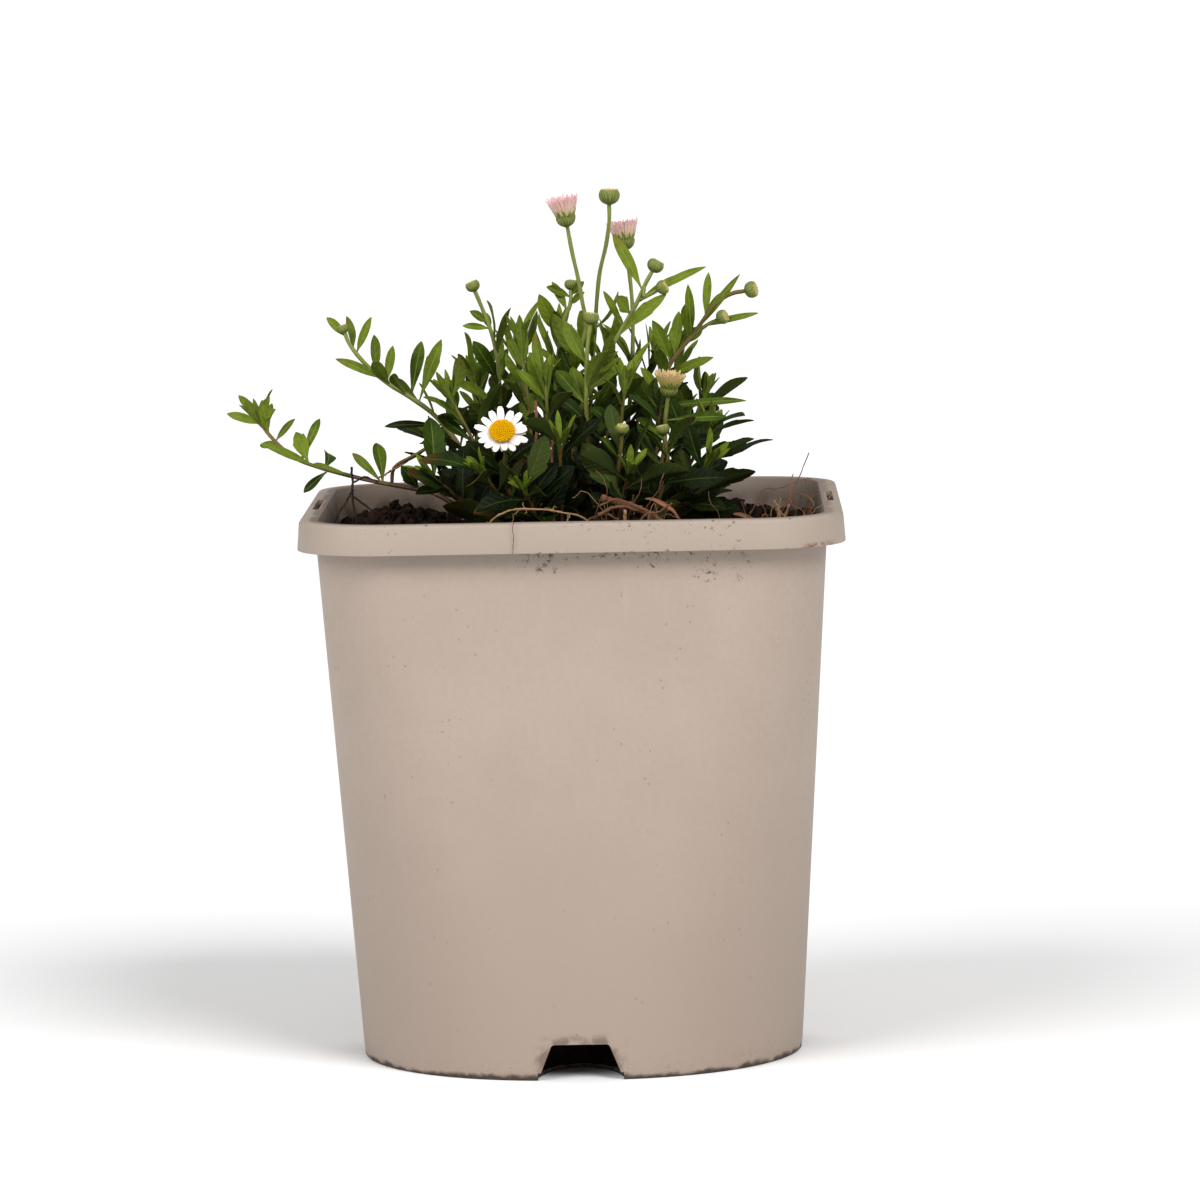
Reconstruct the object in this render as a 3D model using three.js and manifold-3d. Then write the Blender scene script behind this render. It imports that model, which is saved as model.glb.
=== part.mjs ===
// Potted mexican fleabane: a plastic nursery pot, its soil, leafy stems, heads and dry pieces.
// Millimetres, +Z up. The origin is the centre of the pot's flat underside.

import Module from 'manifold-3d';
import {
  BufferAttribute,
  BufferGeometry,
  CatmullRomCurve3,
  Color,
  ExtrudeGeometry,
  Group,
  LatheGeometry,
  Mesh,
  MeshStandardMaterial,
  Quaternion,
  Shape,
  Vector2,
  Vector3,
} from 'three';
import { mergeVertices } from 'three/addons/utils/BufferGeometryUtils.js';

const wasm = await Module();
wasm.setup();

// Pot
const POT_HEIGHT = 154.4;
const WALL = 1.1;
const BASE_HALF = 61.5;
const BASE_CORNER = 55.5;
const TOP_HALF = 70.3;
const TOP_CORNER = 20.5;
const RIM_HALF = 74.4;
const RIM_CORNER = 24.6;
const RIM_DROP = 8.2;
const RIM_FLARE = 0.6;
const RIM_SKIN = 1.3;
const LABEL_SLOT = { length: 32, width: 1.8 };
const DRAIN = { top: 16.6, bottom: 23.7, height: 10, reach: 22, through: 6 };
const CORNER_STEPS = 8;

// How far a cut runs past the faces that it meets
const OVERRUN = 1;

// Soil
const SOIL_GAP = 0.3;
const SOIL_LEVEL = 145.6;
const SOIL_SEED = 41;
const SOIL_LUMPS = 46;
const SOIL_RINGS = [0.93, 0.83, 0.72, 0.59, 0.44, 0.24];
const SOIL_CORNER_STEPS = 4;
const SOIL_SIDE_STEPS = 8;
const SOIL_REACH = 66;
const LUMP = { spread: 4, spreadRange: 6, low: 0.4, height: 3.2 };
const HEAPS = [
  { x: 46, y: -6, spread: 17, height: 3.2 },
  { x: 14, y: -51, spread: 16, height: 7.2 },
];
const SOIL_DIP = 2.6;
const SOIL_RISE = 8;
const HOLLOW = { rise: 2, gap: 0.6 };
const HOLE_GAP = 1.15;
const HOLE_SIDES = 4;
const HOLE_RISE = 6;
const FOOT_DEPTH = 12;

// Stems and leaves
const STEM_SIDES = 4;
const STEM_RISE = 2.5;
const STEM_BOW = 0.12;
const STEM_STEP = 12.5;
const BENT_STEM_STEP = 8.5;
const BLADE_THICKNESS = 0.9;
const GOLDEN_TURN = (137.5 * Math.PI) / 180;
const LEAF_SEED = 7;
const LEAF_CLEARANCE = 2.1;
const OWN_CLEARANCE = 1.5;
const SAMPLE_STEP = 1.25;
const LEAF_START = 3.2;
const LEAF_HEADROOM = 2.2;
const RIM_ZONE = { from: 62, to: 78 };
const ROOT_SINK = 0.3;
const BRANCH_SHARE = 0.8;

// A leaf that is measured on the plant: its widths are drawn a little wider than they show
const TRACED = { spread: 1.2, five: 6, three: 4.1, arch: 0.14 };

// A leaf that the rule places: the height at which it is lowest, and over which it turns to the
// upper kind, its length, width and rise there with their ranges, its arch and how far its face leans
const RULED = {
  foot: 150, climb: 48, length: 11.5, lowLength: 6, lengthRange: 4, width: 3.8, lowWidth: 4.2, widthRange: 1.3,
  rise: 0.5, highRise: 0.8, riseRange: 0.55, alongStem: 0.6, upward: 0.5, arch: 0.32, archRange: 0.3,
  lean: 0.9, five: 7.2, three: 5.4, stemTurn: 1.3,
};
const SPINS = [0, 0.5, -0.5, 1, -1, 1.6, -1.6, 2.3, -2.3];

// Heads
const RAY_THICKNESS = 0.7;
const RAY_ARCH = 0.06;
const LEAST_LEAN = 0.95;
const LEAN_RANGE = 0.1;
const SHORTEST_RAY = 0.85;
const RAY_RANGE = 0.25;
const CORE_FOOT = 0.8;
const CORE_SHOULDER = 0.8;
const HEAD_GAP = 0.3;
const ROUND_SIDES = 8;
const CORE_SIDES = 7;

// Dry pieces
const DRY_GAP = 0.5;
const DRY_STEP = 5;

const COLOURS = {
  pot: 0xbdab9d,
  soil: 0x2a2018,
  leaf: 0x4b5c22,
  stalk: 0x8c9650,
  whiteRay: 0xf4efe9,
  pinkRay: 0xddbba2,
  creamRay: 0xe8d8bd,
  disc: 0xd79a0c,
  dryStem: 0x9b7d5c,
};

const up = new Vector3(0, 0, 1);
const SHOWN_FACE = new Vector3(0, -1, 0.5);
const vec = (p) => new Vector3(p[0], p[1], p[2]);

// The same seed always gives the same run of draws between 0 and 1
function draws(seed) {
  let state = seed >>> 0;
  return () => {
    state = (state + 0x6d2b79f5) >>> 0;
    let mixed = Math.imul(state ^ (state >>> 15), state | 1);
    mixed = (mixed + Math.imul(mixed ^ (mixed >>> 7), mixed | 61)) ^ mixed;
    return ((mixed ^ (mixed >>> 14)) >>> 0) / 4294967296;
  };
}

// Closed geometry to a solid that can be joined and cut
function solidOf(geometry) {
  const bare = geometry.clone();
  bare.deleteAttribute('normal');
  bare.deleteAttribute('uv');
  const merged = mergeVertices(bare, 1e-4);
  const kept = [];
  const index = merged.index.array;
  for (let i = 0; i < index.length; i += 3) {
    const [a, b, c] = [index[i], index[i + 1], index[i + 2]];
    if (a !== b && b !== c && c !== a) kept.push(a, b, c);
  }
  return new wasm.Manifold(
    new wasm.Mesh({
      numProp: 3,
      vertProperties: new Float32Array(merged.attributes.position.array),
      triVerts: new Uint32Array(kept),
    }),
  );
}

function geometryOf(points, faces) {
  const geometry = new BufferGeometry();
  geometry.setAttribute('position', new BufferAttribute(new Float32Array(points.flat()), 3));
  geometry.setIndex(faces.flat());
  return geometry;
}

function meshOf(name, solid, colour, roughness) {
  const { vertProperties, triVerts } = solid.getMesh();
  const geometry = new BufferGeometry();
  geometry.setAttribute('position', new BufferAttribute(new Float32Array(vertProperties), 3));
  geometry.setIndex(Array.from(triVerts));
  geometry.computeVertexNormals();
  const material = new MeshStandardMaterial({ color: new Color(colour), roughness, metalness: 0 });
  const mesh = new Mesh(geometry, material);
  mesh.name = name;
  return mesh;
}

const joined = (solids) => solids.reduce((whole, piece) => whole.add(piece));

// Rounded square, counter-clockwise from the upper end of its +X side, with its corners and its
// straight sides divided into steps
function roundedSquare(half, corner, z, cornerSteps = CORNER_STEPS, sideSteps = 1) {
  const points = [];
  const inset = half - corner;
  for (let quarter = 0; quarter < 4; quarter += 1) {
    const turn = (quarter * Math.PI) / 2;
    const [cos, sin] = [Math.cos(turn), Math.sin(turn)];
    for (let step = 0; step <= cornerSteps; step += 1) {
      const angle = turn + (step / cornerSteps) * (Math.PI / 2);
      const x = inset * (cos - sin) + corner * Math.cos(angle);
      const y = inset * (sin + cos) + corner * Math.sin(angle);
      points.push([x, y, z]);
    }
    for (let step = 1; step < sideSteps; step += 1) {
      const along = inset * (1 - (2 * step) / sideSteps);
      points.push([along * cos - half * sin, along * sin + half * cos, z]);
    }
  }
  return points;
}

// Rings of equal length, bottom first, closed by a fan at each end
function loftOf(rings) {
  const count = rings[0].length;
  const points = rings.flat();
  const faces = [];
  for (let ring = 0; ring + 1 < rings.length; ring += 1) {
    for (let i = 0; i < count; i += 1) {
      const a = ring * count + i;
      const b = ring * count + ((i + 1) % count);
      faces.push([a, b, b + count], [a, b + count, a + count]);
    }
  }
  const middle = (ring) => {
    const sum = ring.reduce((s, p) => [s[0] + p[0], s[1] + p[1], s[2] + p[2]], [0, 0, 0]);
    return sum.map((value) => value / count);
  };
  const first = points.length;
  points.push(middle(rings[0]), middle(rings[rings.length - 1]));
  const last = (rings.length - 1) * count;
  for (let i = 0; i < count; i += 1) {
    const j = (i + 1) % count;
    faces.push([first, j, i], [first + 1, last + i, last + j]);
  }
  return geometryOf(points, faces);
}

// Half width and corner radius of the pot's body at a height, drawn in by an inset
function bodyRing(z, inset, ...steps) {
  const part = z / POT_HEIGHT;
  const half = BASE_HALF + (TOP_HALF - BASE_HALF) * part - inset;
  const corner = BASE_CORNER + (TOP_CORNER - BASE_CORNER) * part - inset;
  return roundedSquare(half, corner, z, ...steps);
}

function rimRing(z, inset) {
  const flare = (RIM_FLARE * (POT_HEIGHT - z)) / RIM_DROP;
  return roundedSquare(RIM_HALF + flare - inset, RIM_CORNER - inset, z);
}

// Outline in the X-Z plane, run along Y from one side of the pot to its middle
function wedge(outline, near, far) {
  const shape = new Shape(outline.map(([x, z]) => new Vector2(x, z)));
  const geometry = new ExtrudeGeometry(shape, { depth: far - near, bevelEnabled: false });
  geometry.rotateX(Math.PI / 2);
  geometry.translate(0, far, 0);
  return geometry;
}

// Half ellipse on the pot's base, from the wall inward
function drainCup(low, high, grow) {
  const shape = new Shape();
  shape.absellipse(0, 0, DRAIN.bottom / 2 + grow, DRAIN.reach + grow, 0, Math.PI, false, 0);
  const geometry = new ExtrudeGeometry(shape, {
    depth: high - low,
    bevelEnabled: false,
    curveSegments: 6,
  });
  geometry.translate(0, -BASE_HALF, low);
  return geometry;
}

function onFourSides(makeGeometry) {
  return [0, 1, 2, 3].map((side) => {
    const geometry = makeGeometry();
    geometry.rotateZ((side * Math.PI) / 2);
    return solidOf(geometry);
  });
}

function makePot() {
  const skirt = POT_HEIGHT - RIM_DROP;
  const lip = POT_HEIGHT - RIM_SKIN;
  const outside = solidOf(loftOf([bodyRing(0, 0), bodyRing(lip + RIM_SKIN / 2, 0)]));
  const inside = solidOf(loftOf([bodyRing(WALL, WALL), bodyRing(POT_HEIGHT + OVERRUN, WALL)]));
  const collar = solidOf(loftOf([rimRing(skirt, 0), rimRing(POT_HEIGHT, 0)]));
  const under = solidOf(loftOf([rimRing(skirt - OVERRUN, RIM_SKIN), rimRing(lip, RIM_SKIN)]));
  const core = solidOf(loftOf([bodyRing(skirt - 2 * OVERRUN, 0), bodyRing(lip + OVERRUN, 0)]));
  const slot = () => {
    const middle = -(TOP_HALF + RIM_HALF - RIM_SKIN) / 2;
    const half = LABEL_SLOT.length / 2;
    const outline = [
      [-half, lip - OVERRUN],
      [half, lip - OVERRUN],
      [half, POT_HEIGHT + OVERRUN],
      [-half, POT_HEIGHT + OVERRUN],
    ];
    return wedge(outline, middle - LABEL_SLOT.width / 2, middle + LABEL_SLOT.width / 2);
  };
  const notch = () => {
    const widening = (OVERRUN * (DRAIN.bottom - DRAIN.top)) / 2 / DRAIN.height;
    const outline = [
      [-DRAIN.bottom / 2 - widening, -OVERRUN],
      [DRAIN.bottom / 2 + widening, -OVERRUN],
      [DRAIN.top / 2, DRAIN.height],
      [-DRAIN.top / 2, DRAIN.height],
    ];
    return wedge(outline, -BASE_HALF - DRAIN.through, -BASE_HALF + DRAIN.through);
  };
  const cuts = [...onFourSides(slot), ...onFourSides(notch)];
  cuts.push(...onFourSides(() => drainCup(-OVERRUN, WALL + OVERRUN, 0)));
  const body = collar.subtract(under.subtract(core)).add(outside).subtract(inside);
  return cuts.reduce((pot, cut) => pot.subtract(cut), body);
}

// Lumps of the soil's surface, and its height at a place
const lumps = [];
const soilDraw = draws(SOIL_SEED);
for (let i = 0; i < SOIL_LUMPS; i += 1) {
  const x = (soilDraw() * 2 - 1) * SOIL_REACH;
  const y = (soilDraw() * 2 - 1) * SOIL_REACH;
  const spread = LUMP.spread + soilDraw() * LUMP.spreadRange;
  const height = (soilDraw() - LUMP.low) * LUMP.height;
  lumps.push({ x, y, spread, height });
}
lumps.push(...HEAPS);

function soilHeight(x, y) {
  let z = SOIL_LEVEL;
  for (const lump of lumps) {
    const away = ((x - lump.x) ** 2 + (y - lump.y) ** 2) / lump.spread ** 2;
    z += lump.height * Math.exp(-away);
  }
  return Math.min(Math.max(z, SOIL_LEVEL - SOIL_DIP), SOIL_LEVEL + SOIL_RISE);
}

const footLevel = (x, y) => Math.round(soilHeight(x, y));

// A plain hole that a stem stands in
function stemHole({ foot: [x, y], radius }) {
  const shape = new Shape();
  const wide = radius + HOLE_GAP;
  for (let i = 0; i < HOLE_SIDES; i += 1) {
    const angle = (i / HOLE_SIDES) * Math.PI * 2;
    const corner = [x + wide * Math.cos(angle), y + wide * Math.sin(angle)];
    if (i === 0) shape.moveTo(...corner);
    else shape.lineTo(...corner);
  }
  const depth = FOOT_DEPTH + SOIL_GAP;
  const geometry = new ExtrudeGeometry(shape, { depth: depth + HOLE_RISE, bevelEnabled: false });
  geometry.translate(0, 0, footLevel(x, y) - depth);
  return solidOf(geometry);
}

function makeSoil(stems) {
  const low = WALL + SOIL_GAP;
  const [base, edge] = [low, SOIL_LEVEL].map((z) => bodyRing(z, low, SOIL_CORNER_STEPS, SOIL_SIDE_STEPS));
  const top = SOIL_RINGS.map((share) => {
    return edge.map(([x, y]) => [x * share, y * share, soilHeight(x * share, y * share)]);
  });
  const whole = solidOf(loftOf([base, edge, ...top]));
  const hollows = onFourSides(() => {
    return drainCup(low - OVERRUN, DRAIN.height + HOLLOW.rise, HOLLOW.gap);
  });
  return [...hollows, ...stems.map(stemHole)].reduce((soil, cut) => soil.subtract(cut), whole);
}

// Stems: their feet on the soil and the points that they pass, measured on the plant.
// A stem with a head or bud carries its leaves only up to its bare stalk.
const STEMS = [
  {
    name: 'stem_left_runner', foot: [-27, -15], radius: 0.8, leaves: 7, from: 0.3, to: 0.9, small: 0.72,
    points: [[-30, -15, 152.5], [-38.1, -14, 157.9], [-46.8, -12, 159.9], [-56.1, -9, 161.5], [-64.4, -5, 163.3],
      [-71.5, -2, 165.1], [-77.5, 1, 167.3], [-82.3, 3, 170.9], [-86.2, 5, 175], [-88.7, 6, 178.9]],
    branch: { at: 0.45, points: [[-49.5, -12, 165.5], [-43.7, -14, 168.9], [-37.2, -14, 172.7]] },
    traced: [
      [1, -93.7, 6, 185.2, 2.6], [0.958, -96.9, 3, 180.3, 2.8], [0.68, -86.7, -7, 172.5, 2.8],
      [0.7, -77.7, 3, 175, 4.8], [0.73, -71.1, 5, 178.4, 2.8], [0.63, -75.2, -8, 158.9, 2.6],
      [0.473, -61.1, -11, 169.6, 2.8], [0.378, -47.3, -16, 166, 5.3], [0.93, -84.6, 9, 182.6, 2.4],
    ],
  },
  {
    name: 'stem_left_rising', foot: [-22, 3], radius: 0.8, leaves: 9, from: 0.22, to: 0.86, small: 0.8,
    points: [[-30.6, 3, 167.4], [-35, 4, 174.4], [-39.4, 4, 179.3], [-44.6, 3, 183.4],
      [-50.4, 2, 187.2], [-55.3, 1, 191.3], [-59.4, 0, 195.7], [-62.1, 0, 199.6], [-63.2, 0, 202.5]],
    bud: 1.6,
    traced: [
      [0.96, -68.1, 0, 207, 2.6], [0.838, -55.7, -2, 206.9, 2.5], [0.682, -65.5, -3, 195.6, 2.8],
      [0.662, -50, 4, 198.5, 2.8], [0.555, -41.9, -1, 199.6, 3.9], [0.52, -36.5, 8, 199.8, 4.2],
      [0.388, -52.3, -1, 176.5, 2.5],
    ],
  },
  {
    name: 'stem_bud_top_left', foot: [-16, 8], radius: 0.65, leaves: 8, from: 0.25, to: 0.68, small: 1,
    points: [[-19.7, 10, 173.7], [-20.4, 12, 184.9], [-21.1, 12, 194.8], [-22.9, 12, 202.4],
      [-25, 12, 208.1], [-26.9, 12, 212.9]],
    bud: 2,
    traced: [[0.78, -28.2, 10, 207.5, 2.6], [0.74, -24.5, 15, 207, 2.5]],
  },
  {
    name: 'stem_pink_left', foot: [-1, 0], radius: 0.65, leaves: 8, from: 0.2, to: 0.5, small: 1,
    points: [[0.7, 0, 171.3], [0, 0, 182.5], [1.6, 0, 193.7], [4.3, 0, 202.6], [3.4, -1, 210.5],
      [2.4, -2, 216.8], [0.9, -3, 224.1], [-0.3, -4, 231.4]],
    head: 'pink',
  },
  {
    name: 'stem_bud_top', foot: [3, 10], radius: 0.65, leaves: 8, from: 0.2, to: 0.5, small: 1,
    points: [[4.8, 10, 176.1], [5.7, 10, 190.2], [6.7, 10, 201.5], [7.4, 9, 209.9], [8.4, 8, 217.8],
      [10.3, 7, 225.4], [11.3, 6, 231.9], [11.4, 6, 236.9]],
    bud: 2.9,
  },
  {
    name: 'stem_pink_right', foot: [12, 14], radius: 0.65, leaves: 8, from: 0.2, to: 0.55, small: 1,
    points: [[15.5, 16, 175.5], [16.8, 17, 189.5], [17.3, 18, 200.8], [17.2, 18, 209.3],
      [16.5, 18, 217.8], [15.8, 18, 223.6]],
    head: 'pink',
  },
  {
    name: 'stem_bud_right', foot: [0.5, -8], radius: 0.75, leaves: 7, from: 0.22, to: 0.58, small: 1,
    points: [[0.8, -8, 174.7], [5.3, -9, 185.8], [9, -10, 193.6], [13.4, -10, 201.1],
      [18, -10, 208.5], [21.1, -10, 214.9], [23.2, -9, 218.6]],
    bud: 2.3,
    branch: { at: 0.88, points: [[21, -12, 211.8], [24.6, -13, 213.6]], bud: 2 },
    traced: [
      [0.86, 12.5, -7, 229.4, 3.6], [0.82, 37.8, -12, 220.2, 2.6], [0.66, 26.8, -14, 212.5, 4.2],
      [0.75, 13.3, -16, 212, 5],
    ],
  },
  {
    name: 'stem_bud_far_right', foot: [16, 4], radius: 0.75, leaves: 7, from: 0.22, to: 0.62, small: 0.9,
    points: [[23.1, 4, 170.6], [24.7, 5, 181.7], [27.1, 6, 190.6], [30.5, 6, 195.6],
      [33.7, 6, 199.2], [36.8, 5, 203.4], [40.8, 4, 208.5], [45.1, 3, 211.3], [49, 2, 212.1]],
    bud: 2.3,
    branch: { at: 0.62, points: [[37.9, 2, 202.6], [41.3, 0, 204.4]], bud: 2 },
    traced: [
      [0.645, 33.1, 2, 214, 2.8], [0.75, 38.9, 7, 217.3, 2.6], [0.72, 43.4, 11, 211.8, 2.6],
      [0.482, 23.1, 1, 204.3, 3.9], [0.5, 30.4, 10, 206.4, 3.4], [0.427, 39.7, 1, 193.8, 3.1],
      [0.345, 48.5, -1, 182, 2.5],
    ],
  },
  {
    name: 'stem_cream', foot: [20, -14], radius: 0.65, leaves: 5, from: 0.3, to: 0.72, small: 0.9,
    points: [[25.3, -16, 167.8], [26.1, -17, 177.6], [27, -18, 184.2]],
    head: 'cream',
    traced: [[0.8, 42.9, -21, 178.8, 3.1], [0.62, 39.3, -12, 172.5, 4.5]],
  },
  {
    name: 'stem_bud_low', foot: [22, -22], radius: 0.65, leaves: 3, from: 0.35, to: 0.7, small: 0.9,
    points: [[26.4, -24, 164.3], [26.2, -24, 171.2], [25.7, -24, 174]],
    bud: 1.9,
    traced: [[0.545, 41.8, -28, 162.6, 7]],
  },
  {
    name: 'stem_daisy', foot: [-14, -20], radius: 0.65, leaves: 4, from: 0.32, to: 0.7, small: 0.85,
    points: [[-18.5, -24, 162.3], [-18.2, -26, 169.2], [-18.6, -28.4, 173.4]],
    head: 'daisy',
  },
  {
    name: 'stem_bud_middle', foot: [-5, 6], radius: 0.65, leaves: 8, from: 0.2, to: 0.66, small: 1,
    points: [[-4.6, 4, 176], [-4.3, 5, 190], [-2.2, 5, 203.3], [-0.1, 6, 208.9], [0.2, 7, 213]],
    bud: 1.9,
    traced: [[0.8, -5, 7, 215.5, 2.6]],
  },
  {
    name: 'stem_bud_front_mid', foot: [5, -14], radius: 0.65, leaves: 8, from: 0.2, to: 0.78, small: 0.95,
    points: [[4.6, -14.5, 172], [4.2, -15, 183.4], [4.8, -16, 197.4], [5.8, -16, 204.6]],
    bud: 2.2,
  },
  {
    name: 'stem_bud_front', foot: [10, -22], radius: 0.65, leaves: 4, from: 0.3, to: 0.72, small: 0.9,
    points: [[12.8, -26, 164.7], [13.8, -28, 171.7], [14.1, -29, 174.8]],
    bud: 1.9,
  },
  { name: 'stem_leafy_01', foot: [-20, -5], tip: [-34.7, -6, 185.8], leaves: 13 },
  { name: 'stem_leafy_02', foot: [-24, -22], tip: [-39.3, -25, 163.8], leaves: 7 },
  { name: 'stem_leafy_03', foot: [-16, -28], tip: [-25, -36, 166.1], leaves: 9 },
  { name: 'stem_leafy_04', foot: [-18, 15], tip: [-28.9, 18, 190.3], leaves: 13 },
  { name: 'stem_leafy_05', foot: [-10, -5], tip: [-14, -6, 201.4], leaves: 13 },
  { name: 'stem_leafy_06', foot: [-6, -14], tip: [-6.9, -20, 191.1], leaves: 12 },
  { name: 'stem_leafy_07', foot: [-10, 18], tip: [-16.4, 28, 195.1], leaves: 13 },
  { name: 'stem_leafy_08', foot: [-2, 17], tip: [-3.4, 26, 202.1], leaves: 13 },
  { name: 'stem_leafy_09', foot: [-3, -25], tip: [-2.9, -34, 173.9], leaves: 10 },
  { name: 'stem_leafy_10', foot: [9, 3], tip: [11, 1, 199], leaves: 12 },
  { name: 'stem_leafy_11', foot: [12, -13], tip: [15.2, -19, 189], leaves: 12 },
  { name: 'stem_leafy_12', foot: [14, 23], tip: [23.4, 32, 195.6], leaves: 13 },
  { name: 'stem_leafy_13', foot: [20, 12], tip: [30.5, 15, 192.3], leaves: 12 },
  { name: 'stem_leafy_14', foot: [27, 18], tip: [37.4, 20, 183.3], leaves: 12 },
  { name: 'stem_leafy_15', foot: [27, -6], tip: [39.1, -10, 175.5], leaves: 11 },
  { name: 'stem_leafy_16', foot: [29, -15], tip: [38.6, -24, 167], leaves: 8 },
  { name: 'stem_leafy_17', foot: [13, -31], tip: [16.3, -40, 165.7], leaves: 9 },
  { name: 'stem_leafy_18', foot: [-27, 10], tip: [-38.7, 14, 170.9], leaves: 10 },
  { name: 'stem_leafy_19', foot: [-6, 27], tip: [-9.7, 42, 185.6], leaves: 12 },
  { name: 'stem_leafy_20', foot: [-18, 25], tip: [-27, 38, 177.6], leaves: 11 },
  { name: 'stem_leafy_21', foot: [22, 29], tip: [30.2, 40, 176.4], leaves: 11 },
  { name: 'stem_leafy_22', foot: [-9, -35], tip: [-13.1, -43, 161.3], leaves: 7 },
];

const LEAFY_STEM = { radius: 0.75, from: 0.24, to: 0.97, small: 1 };

// Heads: radius of the green cup, number, length, width and lean of the rays, where they start,
// the top and height of the core that they stand out of, and the room that the head needs: its
// radius, its height and how much it widens upward
const HEADS = {
  pink: {
    cup: 3, rays: 11, length: 5.4, width: 2.5, lean: 0.36, start: 1.9, core: [2.7, 2.97], room: [3.4, 9, 0.3],
  },
  cream: {
    cup: 2.7, rays: 10, length: 4.6, width: 2.4, lean: 0.5, start: 1.7, core: [2.43, 2.53], room: [3.2, 8, 0.5],
  },
  daisy: {
    cup: 2.9, rays: 16, length: 7.2, width: 2.2, lean: 1.5, start: 1.2, core: [3.045, 0.8], room: [9, 5, 0],
  },
};
const HEAD_SIDE = new Vector3(0, 1, 0.1);
const DAISY_WAY = new Vector3(-0.05, -0.78, 0.62).normalize();
const DISC = { radius: 3.7, height: 1.9, florets: 0.22, seat: 1.3, sides: 18, foot: 0.9, dome: 0.9 };
const DISC_ROWS = [1, 0.92, 0.72, 0.5, 0.28];

// Leaf outlines: distance from the root along the leaf, then half width as a share of the widest;
// keels: the same distance, then depth as a share of the thickness
const LEAF_KINDS = {
  narrow: { edge: [[0, 0.16], [0.34, 0.86], [0.68, 0.88]], keel: [[0, 0.45], [0.5, 1]] },
  three: { edge: [[0, 0.1], [0.45, 0.86], [0.66, 1], [0.73, 0.66]], keel: [[0, 0.45], [0.5, 1]] },
  five: {
    edge: [[0, 0.08], [0.3, 0.5], [0.55, 1], [0.62, 0.78], [0.79, 0.92], [0.85, 0.5]],
    keel: [[0, 0.45], [0.5, 1]],
  },
  ray: { edge: [[0, 0.5], [0.78, 1]], keel: [[0, 0.7], [0.6, 1]] },
};

// Path of a stem: straight up out of its hole, then through its own points
function stemPath(stem) {
  const [x, y] = stem.foot;
  const floor = footLevel(x, y);
  const start = [-FOOT_DEPTH, -FOOT_DEPTH / 2, STEM_RISE].map((rise) => new Vector3(x, y, floor + rise));
  if (stem.points) return new CatmullRomCurve3([...start, ...stem.points.map(vec)], false, 'catmullrom');
  const tip = vec(stem.tip);
  const bow = start[2].clone().lerp(tip, 0.5);
  bow.x -= STEM_BOW * (tip.x - x);
  bow.y -= STEM_BOW * (tip.y - y);
  return new CatmullRomCurve3([...start, bow, tip], false, 'catmullrom');
}

function tubeAlong(curve, radius, step) {
  const corners = [];
  for (let i = 0; i < STEM_SIDES; i += 1) {
    const angle = (i / STEM_SIDES) * Math.PI * 2;
    corners.push(new Vector2(radius * Math.cos(angle), radius * Math.sin(angle)));
  }
  const steps = Math.max(2, Math.ceil(curve.getLength() / step));
  const settings = { steps, extrudePath: curve, bevelEnabled: false };
  return solidOf(new ExtrudeGeometry(new Shape(corners), settings));
}

// A leaf from its root to its tip: its face looks as far along a given direction as it can
function leafBetween(root, tip, look, width, kind, arch) {
  const way = tip.clone().sub(root).normalize();
  const start = root.clone().addScaledVector(way, -ROOT_SINK);
  const length = tip.distanceTo(start);
  const side = way.clone().cross(look).normalize();
  const face = side.clone().cross(way).normalize();
  return { root: start, way, side, face, length, width, kind, arch };
}

function leafPoint(leaf, along, across, lift) {
  const rise = leaf.arch * leaf.length * (along - along * along) + lift;
  return leaf.root
    .clone()
    .addScaledVector(leaf.way, leaf.length * along)
    .addScaledVector(leaf.side, (across * leaf.width) / 2)
    .addScaledVector(leaf.face, rise);
}

// Triangles between two chains of points that end in the same tip
function stitch(first, second, faces, flip) {
  let [i, j] = [0, 0];
  while (i + 1 < first.length || j + 1 < second.length) {
    const a = first[i];
    const b = second[j];
    const nextA = i + 1 < first.length ? first[i + 1] : null;
    const nextB = j + 1 < second.length ? second[j + 1] : null;
    const takeA = nextA && (!nextB || nextA.along <= nextB.along);
    const c = takeA ? nextA : nextB;
    if (a.id !== b.id && a.id !== c.id && b.id !== c.id) {
      faces.push(flip ? [a.id, c.id, b.id] : [a.id, b.id, c.id]);
    }
    if (takeA) i += 1;
    else j += 1;
  }
}

// A closed blade: a flat upper face with a cut edge, and a keel that thickens it from below
function bladeSolid(leaf, thickness) {
  const outline = LEAF_KINDS[leaf.kind];
  const points = [];
  const place = (along, across, lift) => {
    points.push(leafPoint(leaf, along, across, lift).toArray());
    return { id: points.length - 1, along };
  };
  const tip = place(1, 0, 0);
  const edge = (sign) => [...outline.edge.map(([s, w]) => place(s, sign * w, 0)), tip];
  const left = edge(-1);
  const right = edge(1);
  const keel = [...outline.keel.map(([s, deep]) => place(s, 0, -deep * thickness)), tip];
  const faces = [[left[0].id, keel[0].id, right[0].id]];
  stitch(left, right, faces, false);
  stitch(left, keel, faces, true);
  stitch(right, keel, faces, false);
  return solidOf(geometryOf(points, faces));
}

// Places that are already taken, in whole thousandths of a millimetre
const taken = new Map();
const CELL = 3;
const cellKey = (p) => p.map((value) => Math.floor(value / CELL)).join(' ');

function take(points, owner) {
  for (const p of points) {
    const key = cellKey(p);
    if (!taken.has(key)) taken.set(key, []);
    taken.get(key).push({ p, owner });
  }
}

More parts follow.
